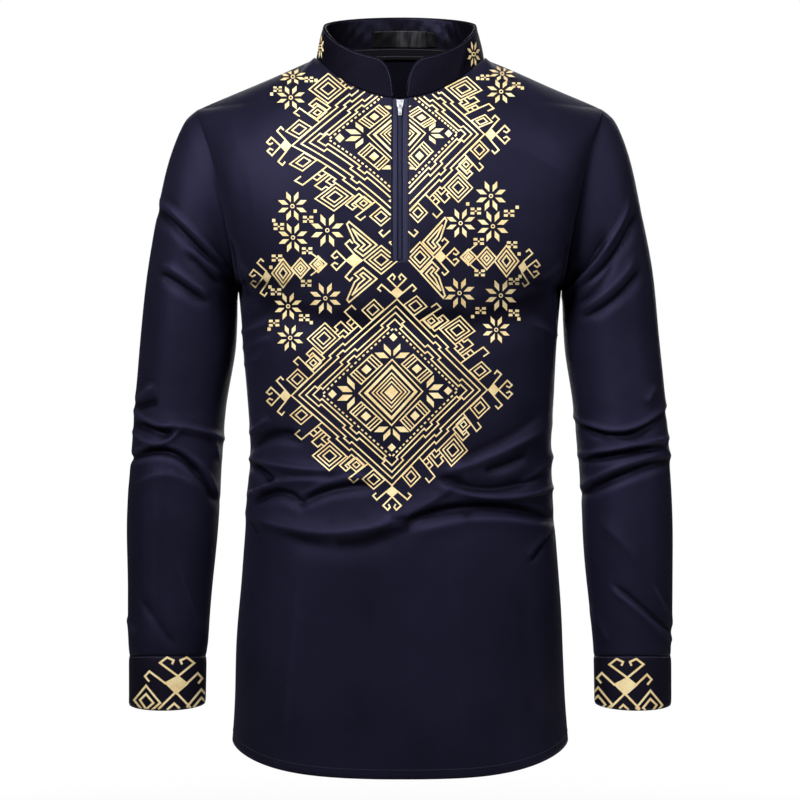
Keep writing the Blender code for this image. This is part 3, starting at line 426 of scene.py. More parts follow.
class Finish:
    def __init__(self, name, **fixed):
        self.material = bpy.data.materials.new(name)
        self.material.use_nodes = True
        self.tree = self.material.node_tree
        self.shader = self.tree.nodes["Principled BSDF"]
        self.place = 0
        for socket, value in fixed.items():
            self.shader.inputs[socket].default_value = value

    def node(self, kind, settings=None, sockets=None, output=0):
        made = self.tree.nodes.new(kind)
        made.location = (-220 * (2 + self.place // 6), 300 - 180 * (self.place % 6))
        self.place += 1
        for key, value in (settings or {}).items():
            setattr(made, key, value)
        for socket, value in (sockets or {}).items():
            if isinstance(value, Level):
                self.tree.links.new(value.socket, made.inputs[socket])
            else:
                made.inputs[socket].default_value = value
        return Level(self, made.outputs[output])

    def feed(self, socket, level):
        self.tree.links.new(level.socket, self.shader.inputs[socket])

    def mix(self, share, first, second):
        return self.node("ShaderNodeMix", dict(data_type="RGBA"), {0: share, 6: first, 7: second}, output=2)

    def objectPlace(self):
        return self.node("ShaderNodeTexCoord", output=3)

    # the cloth's own map, then the distance across it and up it
    def clothMap(self):
        place = self.node("ShaderNodeUVMap", dict(uv_map="cloth"))
        across = self.node("ShaderNodeSeparateXYZ", None, {0: place})
        return place, across, Level(self, across.socket.node.outputs[1])

    def noise(self, place, scale, detail=2.0, roughness=0.5, stretch=None):
        if stretch:
            place = self.node("ShaderNodeMapping", None, {0: place, 3: stretch})
        return self.node("ShaderNodeTexNoise", None, {0: place, 2: scale, 3: detail, 4: roughness})

    def wave(self, distance, pitch):
        return self.node("ShaderNodeMath", dict(operation="SINE"), {0: distance * (2 * math.pi / pitch)})

    def ramp(self, level, low, high):
        return self.node("ShaderNodeMapRange", dict(interpolation_type="SMOOTHSTEP"), {0: level, 1: low, 2: high})

    # colour, roughness and relief; the height is in metres
    def dress(self, base, roughness, height):
        self.feed("Base Color", base)
        self.feed("Roughness", roughness)
        self.feed("Normal", self.node("ShaderNodeBump", None, {"Strength": 1.0, "Distance": 1.0, "Height": height}))
        return self.material


def colour(red, green, blue):
    def linear(value):
        value /= 255
        return value / 12.92 if value <= 0.04045 else ((value + 0.055) / 1.055) ** 2.4
    return (linear(red), linear(green), linear(blue), 1.0)


def tinted(ground, share):
    return (*(share * c for c in ground[:3]), 1.0)


# A fine satin twill: thread diagonals, a faint upright streak from the warp, slow changes of tone,
# a painted highlight along the crests of the folds and painted shade in their floors
def satinCloth(name, ground, shade, roughness, gloss=0.16, pitch=0.00075, height=0.000022):
    ground, shade = colour(*ground), colour(*shade)
    finish = Finish(name, **{"Sheen Weight": 0.02, "Sheen Roughness": 0.45, "Sheen Tint": (0.50, 0.50, 1.0, 1.0),
                             "Specular IOR Level": gloss, "Specular Tint": (0.52, 0.48, 1.0, 1.0)})
    weave, across, upwards = finish.clothMap()
    twill = finish.wave(across * 0.82 + upwards, pitch)
    yarn = finish.wave(across, pitch * 0.55)
    slub = finish.noise(weave, 900.0, 2.0, 0.6, stretch=(1.0, 0.06, 1.0))
    cloud = finish.noise(finish.objectPlace(), 9.0, 3.0, 0.55)
    cockle = finish.noise(finish.objectPlace(), 34.0)
    foldShade = finish.node("ShaderNodeAttribute", dict(attribute_name="foldShade"), output=2)
    plain = finish.mix(finish.ramp(cloud, 0.35, 0.68) * 0.7 + slub * 0.3, shade, ground)
    # painted highlight on the fold crests and painted shade in the fold floors, both read from the fold attribute
    paintedCrestHighlight = finish.mix(finish.ramp(foldShade, 0.10, 1.0) * 0.55, plain, tinted(ground, 2.1))
    paintedFloorShade = finish.mix(finish.ramp(0.0 - foldShade, 0.06, 0.75) * 0.85, paintedCrestHighlight, tinted(ground, 0.12))
    return finish.dress(paintedFloorShade, roughness + (slub - 0.5) * 0.14 + (cloud - 0.5) * 0.10,
                        twill * height + yarn * (height * 0.5) + slub * 0.00006 + cockle * 0.0007)


satins = dict(
    shirtCloth=dict(ground=(24, 23, 38), shade=(18, 18, 31), roughness=0.50),
    # darker copy of the shirt cloth on the inner faces: its darker colour is painted shade inside the shirt
    insideClothShaded=dict(ground=(12, 12, 20), shade=(9, 9, 15), roughness=0.60, gloss=0.06),
    # darker copy of the shirt cloth: its darker colour is painted shade on the collar, which leans away from the lights
    collarClothShaded=dict(ground=(12, 11, 19), shade=(9, 8, 14), roughness=0.55, gloss=0.06),
    cuffCloth=dict(ground=(19, 17, 26), shade=(15, 13, 21), roughness=0.50),
    blackSatin=dict(ground=(10, 10, 14), shade=(6, 6, 9), roughness=0.34, pitch=0.00060, height=0.000014),
)
shirtFinish, insideShadedFinish, collarShadedFinish, cuffFinish, liningFinish = (
    satinCloth(name, **row) for name, row in satins.items())


# Ribbon satin of the two labels: black, with a painted sheen, an upright gleam painted into the colour over the far
# half
def ribbonSatin():
    finish = Finish("labelSatin", **{"Specular IOR Level": 0.12, "Sheen Weight": 0.02, "Sheen Roughness": 0.4})
    weave, across, _ = finish.clothMap()
    twill = finish.wave(across, 0.0006)
    streaks = finish.noise(weave, 260.0, 3.0, 0.6, stretch=(1.0, 0.12, 1.0))
    # painted sheen: paler colour where the satin would catch the light
    paintedGleam = finish.ramp(across, 0.022, 0.031) * (1 - finish.ramp(across, 0.050, 0.063) * 0.8)
    paintedGleam = paintedGleam * finish.ramp(streaks, 0.30, 0.68)
    return finish.dress(finish.mix(paintedGleam, colour(6, 6, 8), colour(47, 47, 51)), 0.42 + (streaks - 0.5) * 0.2,
                        twill * 0.00002 + streaks * 0.0001)


def tapeCloth(name, ground, shade, ribs, gloss=0.2):
    finish = Finish(name, **{"Sheen Weight": 0.04, "Sheen Roughness": 0.5, "Specular IOR Level": gloss,
                             "Sheen Tint": (0.6, 0.6, 1.0, 1.0)})
    place, across, along = finish.clothMap()
    rib = finish.wave(across, ribs)
    knit = rib * finish.wave(along, ribs * 0.8)
    fuzz = finish.noise(place, 1500.0, 2.0, 0.6)
    return finish.dress(finish.mix(finish.ramp(knit + fuzz, -0.6, 1.4), shade, ground), 0.72 + fuzz * 0.18,
                        rib * 0.00007 + knit * 0.00006 + fuzz * 0.00004)


# Foil print: warm gold with pale flecks where it catches light and hairline wear down to the cloth
def goldPrint():
    finish = Finish("goldPrint", **{"Metallic": 0.15, "Specular IOR Level": 0.25})
    place = finish.objectPlace()
    grain = finish.noise(place, 850.0, 3.0, 0.65)
    patch = finish.noise(place, 55.0, 3.0, 0.6)
    wear = finish.noise(place, 420.0, 4.0, 0.7)
    gold = finish.mix(finish.ramp(patch, 0.30, 0.72), colour(226, 196, 136), colour(247, 228, 178))
    flecked = finish.mix(finish.ramp(grain, 0.46, 0.72) * 0.6, gold, colour(255, 243, 206))
    return finish.dress(finish.mix(finish.ramp(wear, 0.66, 0.76) * 0.7, flecked, colour(92, 74, 48)),
                        0.48 + grain * 0.22, grain * 0.00010 + wear * 0.00005)


def zipMetal():
    finish = Finish("zipMetal", **{"Metallic": 0.75})
    place = finish.objectPlace()
    polish = finish.noise(place, 700.0, 3.0, 0.6, stretch=(1.0, 1.0, 0.2))
    dull = finish.ramp(finish.noise(place, 240.0), 0.35, 0.7)
    return finish.dress(finish.mix(dull, colour(236, 237, 242), colour(188, 190, 198)), 0.24 + polish * 0.18,
                        polish * 0.00004)


# Threads and teeth: one fine grain between two shades
def grained(name, low, high, scale, detailRoughness, roughness, height, **fixed):
    finish = Finish(name, **fixed)
    grain = finish.noise(finish.objectPlace(), scale, 2.0, detailRoughness)
    return finish.dress(finish.mix(grain, low, high), roughness + grain * 0.2, grain * height)


def threadFinish(name, ground):
    return grained(name, ground, tinted(ground, 1.6), 2600.0, 0.6, 0.55, 0.00008,
                   **{"Sheen Weight": 0.2, "Specular IOR Level": 0.4})


labelFinish = ribbonSatin()
zipTapeFinish = tapeCloth("zipTapeCloth", colour(48, 49, 74), colour(30, 30, 49), 0.0011)
neckTapeFinish = tapeCloth("neckTapeCloth", colour(10, 10, 14), colour(5, 5, 8), 0.0009, 0.08)
goldFinish = goldPrint()
seamThread = threadFinish("navyThread", colour(30, 29, 46))
labelThread = threadFinish("blackThread", colour(52, 52, 62))
edgeThread = threadFinish("edgeThread", colour(38, 37, 55))
metalFinish = zipMetal()
teethFinish = grained("zipTeeth", colour(23, 26, 50), colour(40, 44, 78), 1200.0, 0.5, 0.42, 0.00003,
                      **{"Specular IOR Level": 0.35})
print("finishes made")


# ---- front and back panels
rowsOf = dict(skirt=40, waist=120, chest=38, armhole=48, roll=44, neckColumns=30, sideColumns=54)
levelOf = dict(skirtTop=-0.530, waistTop=-0.372)
# size of the soft waves on each piece, and where they start
waves = dict(front=(0.0010, 0.0), back=(0.0010, 2.0), sleeve=(0.0009, 1.3), cuff=(0.0005, 3.1))
sideHem = shirt["hemZ"] + shirt["hemSideLift"]
sideRoll = shirt["shoulderZ"] - shirt["shoulderRoll"]


def bodyShare(z):
    return (z - sideHem) / (sideRoll - sideHem) - 1


panelLevels = stepsAlong(
    (bodyShare(sideHem), rowsOf["skirt"]), (bodyShare(levelOf["skirtTop"]), rowsOf["waist"]),
    (bodyShare(levelOf["waistTop"]), rowsOf["chest"]), (bodyShare(shirt["armpitZ"]), rowsOf["armhole"]),
    (0, rowsOf["roll"]), (1, 0))
armpitRow = rowsOf["skirt"] + rowsOf["waist"] + rowsOf["chest"]
slotRow = armpitRow + rowsOf["armhole"] * 4 // 5
slotS = shirt["slotHalf"] / shirt["shoulderX"]
neckS = shirt["neckX"] / shirt["shoulderX"]
rightColumns = np.concatenate([
    np.linspace(slotS, neckS, rowsOf["neckColumns"], endpoint=False),
    np.sin(np.linspace(math.asin(neckS), math.pi / 2, rowsOf["sideColumns"] + 1))])
rightColumns[-1] = 1.0
panelColumns = np.concatenate([-rightColumns[::-1], rightColumns])


# The cloth eases over the shoulder blades: inner points drift to the middle of those around them
blades = dict(above=10, fadeUp=14, fadeTop=7, fadeSides=9, passes=90, drift=0.8)


def relaxed(grid):
    up, over = (np.arange(count) for count in grid.shape[:2])
    low = armpitRow + blades["above"]
    free = step(low, low + blades["fadeUp"], up)[:, None] * step(0, blades["fadeTop"], up[::-1])[:, None]
    free = free * step(0, blades["fadeSides"], over) * step(0, blades["fadeSides"], over[::-1])
    for _ in range(blades["passes"]):
        around = (np.roll(grid, 1, 0) + np.roll(grid, -1, 0) + np.roll(grid, 1, 1) + np.roll(grid, -1, 1)) / 4
        grid = grid + (around - grid) * free[..., None] * blades["drift"]
    return grid


# Whole panel, flat folds first and then raised along the cloth's own normals
def panelGrid(front):
    flat = torsoPoint(panelColumns[None, :], panelLevels[:, None], front)
    if not front:
        flat = relaxed(flat)
    name = "front" if front else "back"
    seams = np.minimum(fromEdges(flat, 1), fromEdges(flat, 0, low=False))
    return flat, *raised(flat, gridNormals(flat, flip=not front), folds[name], seams, *waves[name])


frontFlat, frontGrid, frontFoldShade = panelGrid(True)
backFlat, backGrid, backFoldShade = panelGrid(False)
slot = np.zeros((len(panelLevels) - 1, len(panelColumns) - 1), bool)
slot[slotRow:, len(rightColumns) - 1] = True
frontPanel = addWall(gridMesh("frontPanel", frontGrid, shirtFinish, skip=slot, foldShade=frontFoldShade),
                     shirt["wall"], insideShadedFinish)
backPanel = addWall(gridMesh("backPanel", backGrid, shirtFinish, flip=True, foldShade=backFoldShade),
                    shirt["wall"], insideShadedFinish)
print("front and back panels:", len(frontPanel.data.polygons), len(backPanel.data.polygons))


# ---- sleeves: rings that start on the armhole and settle into even rings
def ringAt(at, side, angle):
    at = np.asarray(at, float)[..., None]
    angle = np.asarray(angle, float)
    value = {name: curve(at) for name, curve in sleeveCurves.items()}
    middleX, halfX = side * (value["outX"] + value["inX"]) / 2, side * (value["outX"] - value["inX"]) / 2
    middleZ, halfZ = (value["outZ"] + value["inZ"]) / 2, (value["outZ"] - value["inZ"]) / 2
    x = middleX + halfX * np.cos(angle)
    y = value["y"] + value["deep"] * np.sin(angle)
    z = middleZ + halfZ * np.cos(angle) - value["lift"] * np.sin(angle)
    return np.stack(np.broadcast_arrays(x, y, z), -1)


sleeveRings = stepsAlong((0, 26), (0.12, 76), (0.50, 82), (0.78, 43), (1.0, 0))
armhole = dict(settledBy=0.45, keptTo=0.16)


def sleeveSurface(side):
    column = -1 if side > 0 else 0
    rim = np.concatenate([backFlat[armpitRow:, column], frontFlat[armpitRow + 1:-1, column][::-1]])
    count = len(rim)
    start = {name: float(curve(0.0)) for name, curve in sleeveCurves.items()}
    middle = np.array([side * (start["outX"] + start["inX"]) / 2, start["y"], (start["outZ"] + start["inZ"]) / 2])
    chord = np.array([side * (start["outX"] - start["inX"]) / 2, 0, (start["outZ"] - start["inZ"]) / 2])
    along = (rim - middle) @ chord / (chord @ chord)
    angles = np.arctan2((rim[:, 1] - middle[1]) / start["deep"], along) % (2 * math.pi)
    shoulder = int(np.argmin(np.minimum(angles, 2 * math.pi - angles)))
    even = 2 * math.pi * ((shoulder - np.arange(count)) % count) / count
    angles = np.where(angles - even > math.pi, angles - 2 * math.pi, angles)
    angles = np.where(even - angles > math.pi, angles + 2 * math.pi, angles)
    offset = rim - ringAt(0.0, side, angles)
    settle = step(0, armhole["settledBy"], sleeveRings)[:, None]
    keep = (1 - step(0, armhole["keptTo"], sleeveRings))[:, None, None]
    turned = angles[None] + (even - angles)[None] * settle
    return ringAt(sleeveRings, side, turned) + offset[None] * keep


def makeSleeve(name, side, ownFolds):
    flat = sleeveSurface(side)
    normals = gridNormals(flat, closed=True)
    outwards = flat - flat.mean(axis=1, keepdims=True)
    flip = float((normals * outwards).sum()) < 0
    if flip:
        normals = -normals
    size, turn = waves["sleeve"]
    grid, foldShade = raised(flat, normals, ownFolds, fromEdges(flat, 0), size, side * turn)
    piece = gridMesh(name, grid, shirtFinish, closed=True, flip=flip, foldShade=foldShade)
    return grid, addWall(piece, shirt["wall"], insideShadedFinish), flip


leftGrid, leftSleeve, leftFlip = makeSleeve("leftSleeve", 1, folds["sleeveLeft"])
rightGrid, rightSleeve, rightFlip = makeSleeve("rightSleeve", -1, folds["sleeveRight"])
print("sleeves:", len(leftSleeve.data.polygons), len(rightSleeve.data.polygons))


# ---- cuffs: plain bands, level at the wrist, a touch wider than the sleeve they take in
cuff = dict(topZ=-0.6337, bottomZ=-0.6830, forwards=0.0050, outwards=0.0002, ease=1.006, taper=0.008, rows=30,
            puffReach=0.0022, wavesStart=0.01, finerX=1.6, finerZ=0.7)


def cuffSurface(sleeveGrid, side):
    top = sleeveGrid[-1]
    middle = top.mean(axis=0)
    down = np.linspace(0, 1, cuff["rows"] + 1)[:, None, None]
    drop = np.array([side * cuff["outwards"], -cuff["forwards"], cuff["bottomZ"] - cuff["topZ"]]) * down
    size = cuff["ease"] - cuff["taper"] * down
    ease = np.concatenate([size, size, 1 - down], -1)
    return middle + (top - middle)[None] * ease + drop


def makeCuff(name, sleeveGrid, side, flip):
    flat = cuffSurface(sleeveGrid, side)
    normals = gridNormals(flat, closed=True, flip=flip)
    near = fromEdges(flat, 0)
    size, turn = waves["cuff"]
    drag = softWaves(flat[..., 0] * cuff["finerX"], flat[..., 2] * cuff["finerZ"], size, side * turn)
    drag = drag * step(0.0, cuff["wavesStart"], near)
    grid = flat + normals * (seamPuff(near, cuff["puffReach"]) + drag)[..., None]
    return grid, addWall(gridMesh(name, grid, cuffFinish, closed=True, flip=flip), shirt["wall"], insideShadedFinish)


leftCuffGrid, leftCuff = makeCuff("leftCuff", leftGrid, 1, leftFlip)
rightCuffGrid, rightCuff = makeCuff("rightCuff", rightGrid, -1, rightFlip)
print("cuffs made")


# ---- stand collar: angle 0 is the middle of the nape, pi the throat
collar = dict(
    topX=0.0815, topFront=0.0660, topBack=0.0580, topSideZ=0.0380, frontDrop=0.0450, backRise=0.0180,
    frontPower=1.25, cornerX=0.0310, cornerPower=2.4, cornerLeast=0.14, rows=20, facingLow=0.02,
    facingHigh=0.975, trim=0.0010, cornerColumns=26, roundColumns=190, cornerSpacing=1.6, stripRows=14,
    bellyOut=0.0008, facingBehind=0.0004, stripWall=0.8,
)
# Strips inside the nape: ends in x, and shares of the collar's height
insideNeck = dict(
    neckTape=dict(x1=-0.0725, x2=0.0725, low=-0.045, high=0.235, columns=90, node="neck_tape"),
    neckLabel=dict(x1=-0.0320, x2=0.0320, low=0.25, high=0.66, columns=90, node="neck_label"),
    sizeTab=dict(x1=0.0323, x2=0.0430, low=0.27, high=0.64, columns=16, node="size_tab"),
)
# Creases across the stand and waves along the nape
standFolds = (dict(at=2.42, wide=0.07, deep=0.0014), dict(at=-2.30, wide=0.08, deep=0.0011))
napeWaves = ((0.45, 17.0, 9.0, 0.0), (0.30, 29.0, -14.0, 1.1), (0.25, 47.0, 5.0, 0.4))


def collarStations(angle):
    nape = np.cos(angle) > 0
    reach = np.where(nape, shirt["neckBack"], shirt["neckFront"])
    x, y = shirt["neckX"] * np.sin(angle), reach * np.cos(angle)
    roundOff = np.abs(np.cos(angle))
    z = np.where(nape, shirt["neckBackRise"] * roundOff ** 1.5, -shirt["neckFrontDrop"] * roundOff ** 2)
    base = np.stack([x, y, z], -1)
    topY = np.where(nape, collar["topBack"], collar["topFront"]) * np.cos(angle)
    topZ = collar["topSideZ"] + np.where(nape, collar["backRise"] * roundOff,
                                         -collar["frontDrop"] * roundOff ** collar["frontPower"])
    rise = np.stack([collar["topX"] * np.sin(angle), topY, topZ], -1) - base
    run = np.clip((collar["cornerX"] - np.abs(x)) / (collar["cornerX"] - shirt["slotHalf"]), 0, 1)
    rounded = np.clip(1 - run ** collar["cornerPower"], 0, None) ** (1 / collar["cornerPower"])
    share = np.where(y < 0, collar["cornerLeast"] + (1 - collar["cornerLeast"]) * rounded, 1.0)
    base[:, 2] += shirt["seamGap"]
    out = unitRows(np.stack([x / shirt["neckX"] ** 2, y / reach ** 2, np.zeros_like(x)], -1))
    return base, base + rise * share[:, None], out


throat = math.pi - math.asin(shirt["slotHalf"] / shirt["neckX"])
corner = math.pi - math.asin(collar["cornerX"] / shirt["neckX"])
nearCorner = (throat - corner) * np.linspace(0, 1, collar["cornerColumns"], endpoint=False) ** collar["cornerSpacing"]
towardsEnd = (throat - corner) * np.linspace(1, 0, collar["cornerColumns"] + 1) ** collar["cornerSpacing"]
roundNeck = np.linspace(-corner, corner, collar["roundColumns"], endpoint=False)
collarAngles = np.concatenate([-throat + nearCorner, roundNeck, throat - towardsEnd])


# A layer of the collar between two shares of its height; crumple lifts it towards the neck
def collarLayer(angles, low, high, rows, inset, crumple=None, belly=0.0):
    base, top, out = collarStations(angles)
    share = np.linspace(low, high, rows + 1)[:, None, None]
    grid = base[None] + (top - base)[None] * share - out[None] * inset
    if belly:
        grid += out[None] * belly * np.sin(np.clip(share, 0, 1) * math.pi)
    if crumple:
        grid -= out[None] * crumple(angles[None, :], share[..., 0])[..., None]
    return grid


def standCreases(angle, share):
    lean = angle + 0.35 * share
    belly = np.sin(share * math.pi)
    sunk = sum(-row["deep"] * np.exp(-((lean - row["at"]) / row["wide"]) ** 2) * belly for row in standFolds)
    return sunk - 0.0005 * np.sin(angle * 9.0 + share * 3.0) * belly


# The facing and the label share the nape's drag lines, so neither cuts into the other
def napeDrag(angle, share):
    flat = np.sin(np.clip((share - 0.24) / 0.74, 0, 1) * math.pi)
    waves = sum(size * np.sin(angle * around + share * up + turn) for size, around, up, turn in napeWaves)
    return 0.0012 * flat * (0.5 + 0.5 * waves)


def labelDrag(angle, share):
    pull = np.sin(angle * 8.0 - share * 1.5 + 0.6) * 0.7 + np.sin(angle * 5.0 + share * 3.0) * 0.3
    return napeDrag(angle, share) + 0.0006 * (1 + pull)


standGrid = collarLayer(collarAngles, 0.0, 1.0, collar["rows"], 0.0, standCreases, collar["bellyOut"])
standShare = np.linspace(0, 1, collar["rows"] + 1)[:, None]
# painted shade: the stand's colour darkens in its creases
standCreaseShade = np.clip(standCreases(collarAngles[None, :], standShare) / 0.0016, -0.8, 0)
collarStand = addWall(gridMesh("collarStand", standGrid, collarShadedFinish, flip=True, foldShade=standCreaseShade), shirt["wall"])
facingInset = shirt["wall"] + collar["facingBehind"]
facingGrid = collarLayer(collarAngles, collar["facingLow"], collar["facingHigh"], collar["rows"], facingInset,
                         napeDrag)
collarFacing = addWall(gridMesh("collarFacing", facingGrid, liningFinish, flip=True), collar["trim"])
trimInset = facingInset + collar["trim"] + shirt["seamGap"]
stripWall = collar["trim"] * collar["stripWall"]


def stripEnds(row):
    return [math.asin(row[end] / shirt["neckX"]) for end in ("x1", "x2")]


neckStrips = {}
for name, row in insideNeck.items():
    drag, finish = (None, neckTapeFinish) if name == "neckTape" else (labelDrag, labelFinish)
    angles = np.linspace(*stripEnds(row), row["columns"])
    grid = collarLayer(angles, row["low"], row["high"], collar["stripRows"], trimInset, drag)
    neckStrips[name] = addWall(gridMesh(name, grid, finish, flip=True), stripWall)
print("collar, facing, neck tape, label and size tab made")


# ---- foil print, drawn on the chart and laid on the cloth
# A stretch of cloth that takes print: finds the cloth's place under each place of the chart
class Ground:
    def __init__(self, grid, normals, facing, gap=None, closed=False):
        if closed:
            grid, normals, facing = (np.concatenate([table, table[:, :1]], 1) for table in (grid, normals, facing))
        self.grid, self.normals, self.gap = grid, normals, gap
        self.flat = chartOf(grid)
        self.nodes = np.argwhere(facing)
        self.tree = kdtree.KDTree(len(self.nodes))
        for k, (r, c) in enumerate(self.nodes):
            self.tree.insert((*self.flat[r, c], 0.0), k)
        self.tree.balance()

    def corners(self, place):
        r = np.clip(place[:, 0].astype(int), 0, self.grid.shape[0] - 2)
        c = np.clip(place[:, 1].astype(int), 0, self.grid.shape[1] - 2)
        return r, c, (place[:, 0] - r)[:, None], (place[:, 1] - c)[:, None]

    def blend(self, table, place):
        r, c, v, u = self.corners(place)
        low = table[r, c] * (1 - u) + table[r, c + 1] * u
        high = table[r + 1, c] * (1 - u) + table[r + 1, c + 1] * u
        return low * (1 - v) + high * v

    def lay(self, wanted, lift):
        place = np.array([self.nodes[self.tree.find((*p, 0.0))[1]] for p in wanted], float)
        for _ in range(8):
            r, c, v, u = self.corners(place)
            miss = wanted - self.blend(self.flat, place)
            here, beside, below, across = (self.flat[r + i, c + j] for i in (0, 1) for j in (0, 1))
            down = (below - here) * (1 - u) + (across - beside) * u
            side = (beside - here) * (1 - v) + (across - below) * v
            area = down[:, 0] * side[:, 1] - down[:, 1] * side[:, 0]
            area = np.where(np.abs(area) < 1e-9, 1e-9, area)
            move = np.stack([(miss[:, 0] * side[:, 1] - miss[:, 1] * side[:, 0]) / area,
                             (miss[:, 1] * down[:, 0] - miss[:, 0] * down[:, 1]) / area], -1)
            place = place + np.clip(move, -1, 1)
            place = np.clip(place, 0, np.array(self.grid.shape[:2]) - 1)
        good = np.linalg.norm(wanted - self.blend(self.flat, place), axis=1) < 0.25
        if self.gap:
            row, left, right = self.gap
            good &= ~((place[:, 0] > row) & (place[:, 1] > left) & (place[:, 1] < right))
        points = self.blend(self.grid, place) + unitRows(self.blend(self.normals, place)) * lift
        return points, good


# Pen for the chart: keeps quads of print
class Pen:
    def __init__(self, width=2.0, piece=chart["piece"]):
        self.width, self.piece = width, piece
        self.quads = []

    # A line with square-cut corners, cut into short quads that can follow the folds
    def line(self, points, width=None, closed=False):
        points = [np.asarray(p, float) for p in points]
        half = (width or self.width) / 2
        count = len(points)
        ends = []
        for k, here in enumerate(points):
            before = points[k - 1] if k or closed else None
            after = points[(k + 1) % count] if k < count - 1 or closed else None
            into = unitRows(here - before) if before is not None else unitRows(after - here)
            out = unitRows(after - here) if after is not None else into
            normal = unitRows(np.array([-(into + out)[1], (into + out)[0]]))
            reach = half / max(abs(normal @ np.array([-into[1], into[0]])), 0.35)
            tip = np.zeros(2)
            if before is None:
                tip = -out * half
            if after is None:
                tip = into * half
            ends.append((here + tip + normal * reach, here + tip - normal * reach))
        for k in range(count if closed else count - 1):
            self.patch(ends[k][0], ends[(k + 1) % count][0], ends[(k + 1) % count][1], ends[k][1])

    def patch(self, a, b, c, d):
        a, b, c, d = (np.asarray(p, float) for p in (a, b, c, d))
        along = max(1, math.ceil(max(np.linalg.norm(b - a), np.linalg.norm(c - d)) / self.piece))
        across = max(1, math.ceil(max(np.linalg.norm(d - a), np.linalg.norm(c - b)) / self.piece))
        u = np.linspace(0, 1, along + 1)[:, None, None]
        v = np.linspace(0, 1, across + 1)[None, :, None]
        grid = (a * (1 - u) + b * u) * (1 - v) + (d * (1 - u) + c * u) * v
        self.quads.append(np.stack([grid[:-1, :-1], grid[1:, :-1], grid[1:, 1:], grid[:-1, 1:]], 2).reshape(-1, 4, 2))

    def box(self, x, y, halfX, halfY):
        self.patch((x - halfX, y - halfY), (x + halfX, y - halfY), (x + halfX, y + halfY), (x - halfX, y + halfY))

    # Square on its corner, drawn or filled
    def diamond(self, at, halfX, halfY, width=None, fill=False):
        x, y = at
        tips = [(x - halfX, y), (x, y - halfY), (x + halfX, y), (x, y + halfY)]
        if fill:
            self.patch(*tips)
        else:
            self.line(tips, width, closed=True)

    def ring(self, at, radius, width=1.1):
        turn = np.linspace(0, 2 * math.pi, 8, endpoint=False) + math.pi / 8
        self.line([(at[0] + radius * math.cos(a), at[1] + radius * math.sin(a)) for a in turn], width, closed=True)

    # Petals of the eight-petal rose; each has sides along an axis and along a diagonal, as shares of the reach
    def petals(self, at, reach, which=range(8), stretch=(1.0, 1.0), start=0.27, upright=(0.395, 0.395),
               level=(0.395, 0.395)):
        start = reach * start
        for k in which:
            axis = math.radians(90 * ((k + 1) // 2))
            diagonal = math.radians(45 + 90 * (k // 2))
            one, two = (np.array([math.cos(t), -math.sin(t)]) for t in (axis, diagonal))
            tip = unitRows(one + two) * start
            axisSide, diagonalSide = upright if abs(one[1]) > 0.5 else level
            one, two = one * reach * axisSide, two * reach * diagonalSide
            corners = [tip, tip + one, tip + one + two, tip + two]
            self.patch(*[np.asarray(at) + corner * stretch for corner in corners])

    def rose(self, at, reach, stretch=(1.0, 1.0)):
        self.petals(at, reach, stretch=stretch)
        self.ring(at, 1.7, 1.0)

    # Four short dashes round a dot, and the single dots beside it
    def checker(self, at, size=1.0, dots=()):
        x, y = at
        for i, j in ((-1, -1), (1, -1), (-1, 1), (1, 1)):
            self.box(x + 3.5 * i * size, y + 2.3 * j * size, 2.1 * size, 1.35 * size)
        self.diamond(at, 1.3 * size, 1.3 * size, fill=True)
        for dx, dy in dots:
            self.box(x + dx, y + dy, 1.6, 1.6)

    # Solid lozenge with a pair of ram's horns at its far tip and a hooked arm at each side
    def horns(self, at, out, size=1.0, half=(6.5, 7.5), arms=True, width=1.7):
        out = unitRows(np.asarray(out, float))
        side = np.array([-out[1], out[0]])
        at = np.asarray(at, float)
        deep, broad = half

        def spot(along, across):
            return at + out * along * size + side * across * size

        self.patch(spot(deep, 0), spot(0, broad), spot(-deep, 0), spot(0, -broad))
        for s in (1, -1):
            horn = [(deep - 1, 0), (deep + 9, 10 * s), (deep + 14, 4.8 * s), (deep + 11, 2.2 * s),
                    (deep + 8.2, 3.6 * s)]
            self.line([spot(*p) for p in horn], width * size)
            if arms:
                arm = [(0, (broad - 1) * s), (broad + 1.5, (broad + 9.5) * s), (broad - 3, (broad + 13.6) * s),
                       (broad - 5.6, (broad + 10.6) * s)]
                self.line([spot(*p) for p in arm], width * size)


